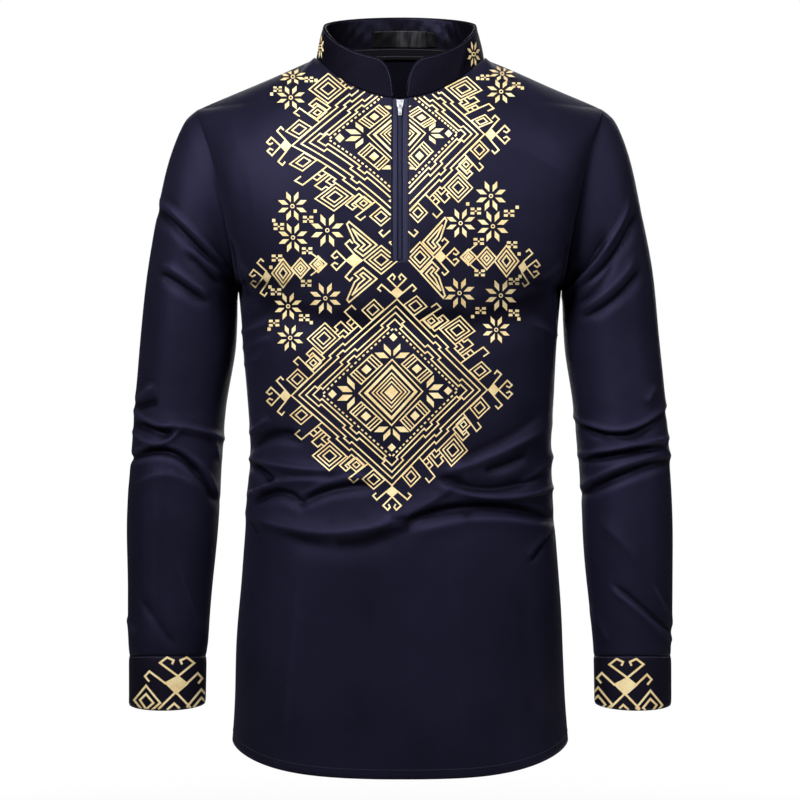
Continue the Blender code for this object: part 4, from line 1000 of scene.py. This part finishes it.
# One side of a medallion in its own lattice: a runs along the side, r outwards from its outline
medallionSide = dict(
    outline=14.6,
    lines=[
        [(-14.6, 0), (-3.2, 0), (-3.2, 0.6), (0.6, 0.6), (0.6, 0), (14.6, 0)],
        [(-13.5, -1.1), (-2.1, -1.1), (-2.1, -0.55), (-0.4, -0.55), (-0.4, -1.1), (13.5, -1.1)],
        [(-12.5, -2.1), (-9.8, -2.1), (-9.8, -2.8), (-2.6, -2.8), (-2.6, -2.1), (1.5, -2.1), (1.5, -2.8),
         (8.6, -2.8), (8.6, -2.1), (12.5, -2.1)],
        [(-11.45, -3.15), (-9.2, -3.15), (-9.2, -3.75), (-1.5, -3.75), (-1.5, -3.1), (0.4, -3.1), (0.4, -3.75),
         (9.4, -3.75), (9.4, -3.15), (11.45, -3.15)],
    ],
    edging=[
        [(-7.9, 0.0), (-7.7, 5.1), (-9.0, 5.1), (-9.0, 3.9)],
        [(5.4, 0.0), (5.4, 5.7), (7.3, 5.7), (7.3, 4.5)],
        [(-7.9, 0.95), (-4.2, 0.95), (-4.2, 1.95), (1.7, 1.95), (1.7, 1.3), (5.4, 1.3)],
        [(-6.1, 3.2), (-6.1, 4.4), (-4.3, 4.4), (-4.2, 1.2)],
        [(-6.0, 3.6), (-5.1, 3.6), (-5.05, 1.0)],
        [(1.0, 3.6), (1.8, 3.6), (1.8, 4.6), (3.5, 4.6), (3.5, 1.4)],
        [(1.1, 2.75), (2.7, 2.75), (2.7, 1.4)],
        [(5.3, 3.5), (4.2, 3.5), (4.2, 1.4)],
        [(4.3, 2.4), (5.4, 2.4)],
    ],
    # nested squares: middle a and r, and their half sizes
    squares=[(-6.5, 1.9, (1.15, 0.5)), (-1.35, 4.35, (2.4, 1.68, 0.95)), (9.7, 1.75, (1.6, 0.85)),
             (-11.2, 1.7, (1.55, 0.85))],
    beads=dict(r=-4.5, length=0.62, gap=0.50, width=1.6, ends=0.2),
    block=dict(r=-7.2, long=2.98, wide=1.58, bars=(2.27, 1.56), solid=0.76),
    widths=dict(square=1.25, block=1.35, bar=1.2, ring=1.3, broadRing=2.8, splitBlock=0.88, splitRing=0.84),
    # towards the tips: how far out the half rose and the lozenge lie, and their sizes
    tips=dict(rose=7.3, lozenge=12.2, apart=23.5, roseReach=18.5, lozengeHalf=4.4, hornsOut=6.2, horns=0.9),
)
rings = (1.15, 1.70, 2.39, 3.03, 4.05, 5.15)
ringSpread = 0.92


def boxOnSide(a, r, halfA, halfR):
    return [(a - halfA, r - halfR), (a - halfA, r + halfR), (a + halfA, r + halfR), (a + halfA, r - halfR)]


# Four like sides round a middle; arms are the half diagonals on the chart, bends their bow towards the tips,
# pulls what the cloth's shape does to the corners between them, horned the tips that end in horns
class Medallion:
    def __init__(self, pen, middle, arms, bends, pulls, horned, stretch=(1.0, 1.0), split=False):
        self.pen, self.middle, self.horned = pen, np.asarray(middle, float), horned
        self.arms, self.bends, self.pulls = ({key: np.asarray(value, float) for key, value in table.items()}
                                             for table in (arms, bends, pulls))
        self.span = medallionSide["outline"] * math.sqrt(2)
        self.stretch, self.split = stretch, split

    # lattice to chart: x to the east, y to the north
    def spot(self, x, y):
        u, v = x / self.span, y / self.span
        east, north = ("east" if u > 0 else "west"), ("north" if v > 0 else "south")
        point = self.middle + abs(u) * self.arms[east] + abs(v) * self.arms[north]
        for key, share in ((east, abs(u)), (north, abs(v))):
            if key in self.bends:
                point = point + share ** 2 * self.bends[key]
        return point + abs(u * v) * self.pulls.get((north, east), 0)

    def onSide(self, turn, a, r):
        q = medallionSide["outline"] + r
        x, y = (a - q) / math.sqrt(2), (a + q) / math.sqrt(2)
        for _ in range(turn):
            x, y = y, -x
        return self.spot(x, y)

    def walk(self, turn, points, width=None, closed=False):
        fine = []
        ends = points + points[:1] if closed else points
        for (a1, r1), (a2, r2) in zip(ends, ends[1:]):
            parts = max(1, math.ceil(math.hypot(a2 - a1, r2 - r1) / 2.5))
            fine += [self.onSide(turn, a1 + (a2 - a1) * k / parts, r1 + (r2 - r1) * k / parts)
                     for k in range(parts)]
        if not closed:
            fine.append(self.onSide(turn, *points[-1]))
        self.pen.line(fine, width, closed)

    def draw(self):
        side, widths = medallionSide, medallionSide["widths"]
        beads, block = side["beads"], side["block"]
        r, wide, solid = block["r"], block["wide"], block["solid"]
        end = side["outline"] + beads["r"]
        count = round(2 * end / (beads["length"] + beads["gap"]))
        for turn in range(4):
            for points in side["lines"] + side["edging"]:
                self.walk(turn, points)
            for a, out, halves in side["squares"]:
                for half in halves:
                    self.walk(turn, boxOnSide(a, out, half, half), widths["square"], closed=True)
            for k in range(count):
                a = -end + (k + 0.5) * 2 * end / count
                self.walk(turn, [(a - beads["length"] / 2 + beads["ends"], beads["r"]),
                                 (a + beads["length"] / 2 - beads["ends"], beads["r"])], beads["width"])
            self.walk(turn, boxOnSide(0, r, block["long"], wide),
                      widths["block"] * (widths["splitBlock"] if self.split else 1.0), closed=True)
            for bar in block["bars"]:
                for a in (bar, -bar):
                    self.walk(turn, [(a, r - wide), (a, r + wide)], widths["bar"])
            self.pen.patch(*[self.onSide(turn, *corner) for corner in boxOnSide(0, r, solid, solid)])
        for k, half in enumerate(rings):
            reach = half * math.sqrt(2)
            tips = [self.spot(x * reach, y * reach)
                    for x, y in ((-ringSpread, 0), (0, 1), (ringSpread, 0), (0, -1))]
            if k == 0:
                self.pen.patch(*tips)
            else:
                width = widths["broadRing" if k == 4 else "ring"]
                self.pen.line(tips, width * (widths["splitRing"] if self.split else 1.0), closed=True)
        # half roses and small lozenges towards the four tips
        sizes = side["tips"]
        for k, (x, y) in enumerate(((1, 0), (0, 1), (-1, 0), (0, -1))):
            foot = self.spot(x * sizes["rose"], y * sizes["rose"])
            far = self.spot(x * sizes["lozenge"], y * sizes["lozenge"])
            scale = np.linalg.norm(far - foot) / sizes["apart"]
            # where the zip splits a rose only its outer petals show
            which = (-2, 1) if self.split and k % 2 else (-2, -1, 0, 1)
            self.pen.petals(foot, sizes["roseReach"] * scale, [(2 * k + n) % 8 for n in which],
                            self.stretch, 0.20, (0.33, 0.56), (0.52, 0.44))
            self.pen.diamond(far, sizes["lozengeHalf"] * scale, sizes["lozengeHalf"] * scale, fill=True)
        for key in self.horned:
            tip = self.middle + self.arms[key] + self.bends.get(key, 0)
            out = self.arms[key] / np.linalg.norm(self.arms[key])
            self.pen.horns(tip + out * sizes["hornsOut"], out, sizes["horns"])


# Chain of nested lozenges beside the middle of the chest, ending in a horned lozenge
def sideChain(pen, places, tail, out):
    for (x, y), halves in places:
        for halfX, halfY in halves:
            pen.diamond((x, y), halfX, halfY, chest["chainWidth"])
    pen.horns(tail, out, chest["chainHorns"], chest["chainHalf"])


# Slanted key fret: nested stepped lines
def keyFret(pen, at, toX, toY, size=1.0):
    def spot(x, y):
        return (at[0] + x * toX * size, at[1] + y * toY * size)
    for points in ([(-15, -14), (-13, -16.5), (14.5, 6.5), (1, 17.5), (-7.5, 11), (-3, 7), (-7.5, 3.2), (-15, -14)],
                   [(-9.6, -9.2), (8.8, 6.2), (1, 12.6), (-2, 10.4), (2.6, 6.4), (-3.4, 1.2), (-9.6, -9.2)]):
        pen.line([spot(*p) for p in points], 1.6)


# What is printed on the chest, each by its middle on the chart
chest = dict(
    width=1.36, chainHorns=0.86, chainHalf=(5.2, 7.6), chainWidth=1.55, nested=(1.0, 0.70, 0.40),
    middleLozenges=(((381.4, 261.3), 17.2, 14.0), ((419.8, 258.6), 14.0, 14.8)),
    middleHorns=(((354.6, 261.8), (-1, 0), 0.95, (9.4, 7.6)), ((440.0, 258.2), (1, 0), 0.85, (7.4, 7.8))),
    frets=(((362.5, 240.0), 1.0, 1.0), ((362.5, 286.5), 1.0, -1.0), ((434.0, 237.0), -0.8, 1.05),
           ((432.5, 281.5), -0.8, -1.05)),
    chains=((((284.1, 273.8), ((11.0, 14.0), (7.4, 9.6), (3.8, 5.2))),
             ((301.4, 269.3), ((9.0, 10.0), (5.4, 6.0), (2.2, 2.4))),
             ((318.9, 265.4), ((8.2, 8.0), (4.2, 4.2), (1.4, 1.4)))),
            (((505.5, 262.1), ((12.0, 15.2), (8.2, 10.4), (4.2, 5.6))),
             ((485.9, 259.5), ((10.0, 11.0), (6.0, 6.8), (2.4, 2.8))),
             ((468.0, 258.6), ((8.0, 7.8), (4.2, 4.2), (1.4, 1.4))))),
    chainTails=(((267.8, 277.3), (-1, 0.1)), ((521.8, 268.0), (1, 0.12))),
    chevrons=([(312, 254.5), (327, 264.9), (312, 276)], [(475, 246.5), (460.5, 258.4), (475.5, 271)]),
    # middle, reach and stretch of each star
    stars=(*(((x, y), reach, (1.0, 1.0)) for x, y, reach in (
        (293.5, 208, 15.5), (328, 232, 17.5), (294, 239, 15.5), (490, 198, 16), (460, 225, 15.5), (492, 228, 16.5),
        (289, 306.5, 14.5), (326, 299, 16.5), (459, 294, 16), (500, 296, 16.5), (291, 338, 14), (495.5, 330, 14.5))),
           ((294, 78.5), 14, (1.0, 0.62)), ((501, 75.5), 14, (1.0, 0.62)),
           ((292, 100), 15, (1.0, 0.86)), ((500, 94), 15, (1.0, 0.86))),
    # size of each group of checkers, then their middles and the dots beside them
    checkers=((0.92, ((309, 221, [(7, -8)]), (280, 228, [(-5, -6)]), (308, 252, []), (278, 259, [(-6, 9)]),
                      (307, 284, []), (277, 292, [(-6, -5)]), (305, 318, [(7, 5)]), (275, 323, [(-5, 6)]),
                      (475, 213, [(-8, -7)]), (508, 215, [(8, -6)]), (478, 243, []), (511, 246, [(7, 9)]),
                      (479, 274, []), (513, 282, [(6, -5)]), (480, 311, [(-8, 6)]), (513, 313, [(5, 6)]))),
              (0.75, ((310, 82, [(7, 1)]), (484, 80, [(-7, 1)]), (279, 91, [(-6, 5)]), (515, 87, [(6, 3)])))),
)
medallions = (
    dict(middle=(391.5, 392.5), bends=dict(north=(5.5, 0)), horned=("north", "east", "south", "west"),
         arms=dict(east=(95.3, -2.7), west=(-99.4, 2.7), north=(0, -92.5), south=(0.5, 92.8)),
         pulls={("north", "east"): (13, 10), ("south", "east"): (-13, 8), ("south", "west"): (-5, -7)}),
    dict(middle=(397.7, 135.5), bends=dict(west=(-18.5, 9), north=(0, -12), east=(1.3, 1)),
         horned=("east", "west", "south"), stretch=(0.98, 0.76), split=True,
         arms=dict(east=(84.5, 0.5), west=(-86, 3.5), north=(0, -62), south=(0.8, 88.5)),
         pulls={("north", "east"): (33, 10), ("north", "west"): (0, -22), ("south", "west"): (-10, -8)}),
)
chestPen = Pen(chest["width"])
for row in medallions:
    Medallion(chestPen, **row).draw()
for at, halfX, halfY in chest["middleLozenges"]:
    for share in chest["nested"]:
        chestPen.diamond(at, halfX * share, halfY * share)
for row in chest["middleHorns"]:
    chestPen.horns(*row)
for row in chest["frets"]:
    keyFret(chestPen, *row)
for places, tail in zip(chest["chains"], chest["chainTails"]):
    sideChain(chestPen, places, *tail)
for points in chest["chevrons"]:
    chestPen.line(points)
for row in chest["stars"]:
    chestPen.rose(*row)
for size, group in chest["checkers"]:
    for x, y, dots in group:
        chestPen.checker((x, y), size, dots)


# Cuff: a horned lozenge in the middle with nested lozenges and chevrons rising from the lower edge
def cuffPrint(pen, x, y, spread):
    pen.patch((x - 12, y - 0.5), (x + 2, y - 8), (x + 12.5, y + 0.5), (x, y + 11.5))
    for s, far, drop in ((-1, spread[0], 0), (1, spread[1], 3.5)):
        pen.line([(x + 2, y - 7), (x + 1 + 17 * s, y - 20.5), (x + 9.8 * s + 1, y - 26), (x + 3.4 * s + 1, y - 23),
                  (x + 4.6 * s + 1, y - 20)], 2.1)
        pen.line([(x + 11 * s, y), (x + (far - 3.5) * s, y - 12 + drop / 2), (x + (far + 1) * s, y - 7 + drop / 2),
                  (x + (far - 2.5) * s, y - 2.5 + drop / 2)], 2.1)
        pen.line([(x + 1.5 * s - 0.5, y + 10.5), (x + 19 * s - 1, y + 28.5)], 2.1)
        pen.line([(x - 2, y + 20.5), (x - 2 + 9.5 * s, y + 29)], 2.1)
        for grow in (1.0, 0.52):
            at = x + far * s
            pen.line([(at, y + 20 + drop - 17.5 * grow), (at - 14 * grow * s, y + 20 + drop),
                      (at, y + 20 + drop + 12 * grow), (at + 12 * grow * s, y + 17 + drop)], 2.1, closed=True)


def printPiece(name, pen, ground, lift=chart["lift"]):
    quads = np.concatenate(pen.quads)
    spots, index = np.unique(np.round(quads.reshape(-1, 2), 4), axis=0, return_inverse=True)
    faces = index.reshape(-1, 4)
    points, good = ground.lay(spots, lift)
    faces = faces[good[faces].all(axis=1)]
    used, faces = np.unique(faces, return_inverse=True)
    faces = faces.reshape(-1, 4)
    points = points[used]
    # faces look the same way as the cloth
    a, b, c, d = (points[faces[:, k]] for k in range(4))
    backwards = np.cross(c - a, d - b)[:, 1] > 0
    faces = np.where(backwards[:, None], faces[:, ::-1], faces)
    faces = [tuple(dict.fromkeys(face)) for face in faces.tolist() if len(set(face)) > 2]
    mesh = bpy.data.meshes.new(name)
    mesh.from_pydata(points.tolist(), [], faces)
    return addPiece(name, mesh, goldFinish)


# Cloth takes print where its normal points forwards past a limit: less than this in y
facingFront = dict(chest=-0.22, cuff=-0.1, collar=0.1)
cuffMarks = dict(width=2.1, right=(175.5, 683.5, (30, 25)), left=(626.0, 685.0, (27, 25)))
collarMarks = dict(width=1.6, piece=0.9, lift=0.0005,
                   stars=(((472.6, 56), 13.5, (0.50, 1.0)), ((321.5, 48), 13, (0.30, 1.0))))
frontNormals = gridNormals(frontGrid)
chestPrint = printPiece("chestPrint", chestPen, Ground(
    frontGrid, frontNormals, frontNormals[..., 1] < facingFront["chest"],
    (slotRow, len(rightColumns) - 1, len(rightColumns))))
cuffPrints = []
for side, cuffGrid, flip in (("right", rightCuffGrid, rightFlip), ("left", leftCuffGrid, leftFlip)):
    pen = Pen(cuffMarks["width"])
    cuffPrint(pen, *cuffMarks[side])
    normals = gridNormals(cuffGrid, closed=True, flip=flip)
    ground = Ground(cuffGrid, normals, normals[..., 1] < facingFront["cuff"], closed=True)
    cuffPrints.append(printPiece(side + "CuffPrint", pen, ground))
standPen = Pen(collarMarks["width"], collarMarks["piece"])
for row in collarMarks["stars"]:
    standPen.rose(*row)
standNormals = gridNormals(standGrid, flip=True)
standPrint = printPiece("collarPrint", standPen, Ground(
    standGrid, standNormals, standNormals[..., 1] < facingFront["collar"]), collarMarks["lift"])
printPieces = [chestPrint, *cuffPrints, standPrint]
print("print laid:", [len(piece.data.polygons) for piece in printPieces])


# ---- many small copies of one low shape in one mesh; axes are the copies' own x, y and z
def beadMesh(name, places, axes, sizes, finish, rings=4, sides=8, power=1.0):
    polar = np.linspace(0, math.pi, rings + 2)[1:-1]
    around = np.linspace(0, 2 * math.pi, sides, endpoint=False)
    cap = np.sin(polar) ** power
    shape = np.array([[math.cos(p), c * math.cos(a), c * math.sin(a)] for p, c in zip(polar, cap) for a in around])
    shape = np.vstack([shape, [[1.0, 0, 0]], [[-1.0, 0, 0]]])
    faces = []
    for r in range(rings - 1):
        for k in range(sides):
            n = (k + 1) % sides
            faces.append((r * sides + k, (r + 1) * sides + k, (r + 1) * sides + n, r * sides + n))
    tip, foot = len(shape) - 2, len(shape) - 1
    for k in range(sides):
        n = (k + 1) % sides
        faces += [(tip, k, n), (foot, (rings - 1) * sides + n, (rings - 1) * sides + k)]
    places, sizes = np.asarray(places, float), np.broadcast_to(np.asarray(sizes, float), (len(places), 3))
    axes = np.broadcast_to(np.asarray(axes, float), (len(places), 3, 3))
    points = np.einsum("pk,nk,nkj->npj", shape, sizes, axes) + places[:, None]
    count = len(shape)
    allFaces = [tuple(i + n * count for i in face) for n in range(len(places)) for face in faces]
    mesh = bpy.data.meshes.new(name)
    mesh.from_pydata(points.reshape(-1, 3).tolist(), [], allFaces)
    return addPiece(name, mesh, finish)


# ---- exposed zip: woven tapes behind the slot, and the closed coil between them
zipSizes = dict(tapeInner=0.0026, tapeOuter=0.0160, tapeBehind=0.0004, tape=0.0009, coilBehind=-0.0002,
                pitch=0.00125, toothHalf=0.0014, toothHigh=0.00046, toothDeep=0.00062, toothAside=0.0008,
                coilStart=0.0005, coilEnd=0.0045, stitchX=0.0034, stitchPitch=0.0016, thread=0.00022)
firstRight = len(rightColumns)


# Edge of the slot, the line three columns further out, and the cloth's normal, from below its foot to the neck
def slotSide(side):
    edge = firstRight if side > 0 else firstRight - 1
    beyond = edge + 3 * side
    rows = slice(slotRow - 4, len(panelLevels))
    normals = frontNormals[rows, edge] * np.array([0, 1, 1])
    return frontGrid[rows, edge], frontGrid[rows, beyond], unitRows(normals)


def behindSlot(side, x, behind):
    edge, beyond, normals = slotSide(side)
    share = (x - np.abs(edge[:, 0])) / np.maximum(np.abs(beyond[:, 0]) - np.abs(edge[:, 0]), 1e-6)
    points = edge + (beyond - edge) * np.clip(share, 0, None)[:, None]
    points[:, 0] = side * x
    return points - normals * behind


tapeBack, coilBack = shirt["wall"] + zipSizes["tapeBehind"], shirt["wall"] + zipSizes["coilBehind"]
zipTapes = {}
for side, name in ((1, "zipTapeLeft"), (-1, "zipTapeRight")):
    across = np.linspace(zipSizes["tapeInner"], zipSizes["tapeOuter"], 9)[::side]
    grid = np.stack([behindSlot(side, x, tapeBack) for x in across], 1)[:-1]
    zipTapes[name] = addWall(gridMesh(name, grid, zipTapeFinish), zipSizes["tape"])


def alongLine(at, along, table):
    return np.stack([np.interp(at, along, column) for column in np.asarray(table, float).T], -1)


# Points at even steps along a line, with the direction there
def evenly(line, pitch, start=0.0, end=0.0):
    along = walked(line)
    at = np.arange(start + pitch / 2, along[-1] - end, pitch)
    ahead, behind = (alongLine(at + shift, along, line) for shift in (pitch * 0.4, -pitch * 0.4))
    return alongLine(at, along, line), unitRows(ahead - behind)


zipLine = (behindSlot(1, 0.0, coilBack) + behindSlot(-1, 0.0, coilBack)) / 2
zipLine[:, 0] = 0
teeth, teethRun = evenly(zipLine[4:-1], zipSizes["pitch"] / 2, zipSizes["coilStart"], zipSizes["coilEnd"])
sideways = np.tile([1.0, 0.0, 0.0], (len(teeth), 1))
toothAxes = np.stack([sideways, np.cross(sideways, teethRun), teethRun], 1)
turns = np.where(np.arange(len(teeth)) % 2 == 0, 1.0, -1.0)[:, None]
zipCoil = beadMesh("zipCoil", teeth + turns * sideways * zipSizes["toothAside"], toothAxes,
                   (zipSizes["toothHalf"], zipSizes["toothDeep"], zipSizes["toothHigh"]), teethFinish, power=0.6)


# Lock stitches: short raised dashes lying along a line on the cloth
def stitches(name, line, out, pitch, size, finish, lift=0.00012):
    places, run = evenly(line, pitch)
    along = walked(line)
    normals = unitRows(alongLine(np.arange(pitch / 2, along[-1], pitch), along, out))
    sides = unitRows(np.cross(run, normals))
    return beadMesh(name, places + normals * lift, np.stack([run, sides, normals], 1),
                    (pitch * 0.40, size, size * 0.8), finish, sides=6, power=0.5)


coilStitches = [
    stitches(name, behindSlot(side, zipSizes["stitchX"], tapeBack)[4:-2], slotSide(side)[2][4:-2],
             zipSizes["stitchPitch"], zipSizes["thread"], teethFinish)
    for side, name in ((1, "coilStitchesLeft"), (-1, "coilStitchesRight"))]
print("zip made:", len(teeth), "teeth")


# ---- stitching: lines kept a set way in from an edge of a grid
def inFrom(grid, normals, far, low=True, slant=False):
    if not low:
        grid, normals = grid[::-1], normals[::-1]
    gone = walked(grid)
    reach = np.full(grid.shape[1], far)
    if slant:
        lean = np.abs(np.einsum("ij,ij->i", unitRows(slopeAlong(grid[0], 0)), unitRows(grid[1] - grid[0])))
        reach = np.minimum(far / np.sqrt(np.clip(1 - lean ** 2, 0.05, 1)), gone[-1] * 0.6)
    line, out = (np.array([alongLine(reach[c], gone[:, c], table[:, c]) for c in range(grid.shape[1])])
                 for table in (grid, normals))
    return line, unitRows(out)


seams = dict(hemIn=0.0098, collarIn=0.0022, cuffIn=0.0018, slotIn=0.0015, pitch=0.0029, collarPitch=0.0028,
             slotPitch=0.0024, footPitch=0.0022, napePitch=0.0026, thread=0.00023, napeThread=0.00026)
stitching = []


def sew(name, line, out, pitch, thread=seams["thread"], finish=seamThread, **more):
    stitching.append(stitches(name, line, out, pitch, thread, finish, **more))


for name, grid, normals in (("hemStitchesFront", frontGrid, frontNormals),
                            ("hemStitchesBack", backGrid, gridNormals(backGrid, flip=True))):
    sew(name, *inFrom(grid, normals, seams["hemIn"]), seams["pitch"])
sew("collarStitches", *inFrom(standGrid, standNormals, seams["collarIn"], low=False, slant=True),
    seams["collarPitch"], finish=edgeThread)
for name, grid, flip in (("leftCuffStitches", leftCuffGrid, leftFlip), ("rightCuffStitches", rightCuffGrid, rightFlip)):
    normals = gridNormals(grid, closed=True, flip=flip)
    for edge, low in (("Low", True), ("High", False)):
        line, out = inFrom(grid, normals, seams["cuffIn"], low=low)
        sew(name + edge, np.vstack([line, line[:1]]), np.vstack([out, out[:1]]), seams["pitch"])
# both sides of the slot, then across its foot
for side, name in ((1, "slotStitchesLeft"), (-1, "slotStitchesRight")):
    edge, beyond, out = slotSide(side)
    line = edge + unitRows(beyond - edge) * seams["slotIn"]
    sew(name, line[4:-1], out[4:-1], seams["slotPitch"])
foot = (slotRow - 1, slice(firstRight - 2, firstRight + 2))
sew("slotFootStitches", frontGrid[foot], frontNormals[foot], seams["footPitch"])


# Rows inside the nape, facing the neck
def napeLine(row, share, inset):
    low, high = stripEnds(row)
    angles = np.linspace(low + 0.01, high - 0.01, 60)
    line = collarLayer(angles, share, share, 1, inset, labelDrag if row is insideNeck["neckLabel"] else None)[0]
    return line, -collarStations(angles)[2]


for name, strip, share in (("tapeStitchesLow", "neckTape", 0.03), ("tapeStitchesHigh", "neckTape", 0.205),
                           ("labelStitches", "neckLabel", 0.635)):
    sew(name, *napeLine(insideNeck[strip], share, trimInset + stripWall), seams["napePitch"], seams["napeThread"],
        labelThread, lift=0.0001)
print("stitching made:", len(stitching), "lines")


# ---- what moves with what, the frame's pieces that the cloth replaces, and the zip's metal
shirtPieces = [frontPanel, backPanel, leftSleeve, rightSleeve, leftCuff, rightCuff, collarStand, collarFacing,
               *neckStrips.values(), *zipTapes.values(), zipCoil, *coilStitches, *printPieces, *stitching]
for piece in shirtPieces:
    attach(piece, "shirt")
for piece, node in ((frontPanel, "front"), (backPanel, "back"), (leftSleeve, "sleeve_left"),
                    (rightSleeve, "sleeve_right"), (leftCuff, "cuff_left"), (rightCuff, "cuff_right"),
                    (collarStand, "collar_stand"), (collarFacing, "collar_facing"),
                    (zipTapes["zipTapeLeft"], "zip_tape_left"), (zipTapes["zipTapeRight"], "zip_tape_right"),
                    (zipCoil, "zip_coil")):
    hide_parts(node)
for name, piece in neckStrips.items():
    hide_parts(insideNeck[name]["node"])
for name in ("zip_slider", "pull_tab"):
    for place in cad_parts[name].material_slots:
        place.material = metalFinish


# ---- studio: pale floor, soft boxes in front, above and at the sides
studio = dict(floorZ=-1.45, floorRadius=3.2, floorFade=1.5, floorSides=96, ambient=0.05)
view = dict(sensor=36, lens=82.31, place=(0, -1.9708, -0.2801), down=2.3976)
floorMesh = bpy.data.meshes.new("floor")
rim = [(studio["floorRadius"] * math.cos(a), studio["floorRadius"] * math.sin(a), studio["floorZ"])
       for a in np.linspace(0, 2 * math.pi, studio["floorSides"], endpoint=False)]
floorMesh.from_pydata(rim, [], [tuple(range(studio["floorSides"]))])
floor = bpy.data.objects.new("floor", floorMesh)
bpy.context.scene.collection.objects.link(floor)
# The floor melts into the white of the studio towards its rim
pale = Finish("paleFloor", **{"Base Color": (0.94, 0.94, 0.95, 1), "Roughness": 0.7})
reach = pale.node("ShaderNodeVectorMath", dict(operation="LENGTH"), {0: pale.objectPlace()}, output=1)
pale.feed("Alpha", 1 - pale.ramp(reach, studio["floorFade"], studio["floorRadius"]))
floorMesh.materials.append(pale.material)

world = bpy.data.worlds.new("studio")
bpy.context.scene.world = world
world.use_nodes = True
sky = world.node_tree.nodes["Background"]
sky.inputs["Color"].default_value = (1, 1, 1, 1)
rays = world.node_tree.nodes.new("ShaderNodeLightPath")
lit = world.node_tree.nodes.new("ShaderNodeMapRange")
lit.inputs["To Min"].default_value = studio["ambient"]
lit.inputs["To Max"].default_value = 1.0
world.node_tree.links.new(rays.outputs["Is Camera Ray"], lit.inputs["Value"])
world.node_tree.links.new(lit.outputs["Result"], sky.inputs["Strength"])


def softBox(name, place, aim, size, power, spread=180):
    light = bpy.data.lights.new(name, "AREA")
    light.shape = "RECTANGLE"
    light.size, light.size_y = size
    light.energy = power
    light.spread = math.radians(spread)
    lamp = bpy.data.objects.new(name, light)
    lamp.location = place
    run = np.array(aim, float) - np.array(place, float)
    lamp.rotation_euler = (math.atan2(math.hypot(run[0], run[1]), -run[2]), 0, math.atan2(-run[0], run[1]))
    bpy.context.scene.collection.objects.link(lamp)


softBox("keyBox", (-0.9, -1.55, 0.95), (0, -0.1, -0.13), (0.6, 0.6), 7.3, 60)
softBox("fillBox", (1.4, -1.4, 0.9), (0, 0, -0.25), (0.7, 0.8), 25)
softBox("topBox", (0.0, -0.5, 1.9), (0, 0, -0.3), (1.6, 1.0), 4)
softBox("backBox", (0.2, 2.9, 0.5), (0, 0, -0.35), (3.0, 2.4), 46)

lens = bpy.data.cameras.new("camera")
lens.sensor_width = view["sensor"]
lens.lens = view["lens"]
camera = bpy.data.objects.new("camera", lens)
camera.location = view["place"]
camera.rotation_euler = (math.radians(90 - view["down"]), 0, 0)
bpy.context.scene.collection.objects.link(camera)
bpy.context.scene.camera = camera
bpy.context.scene.view_settings.view_transform = "Standard"
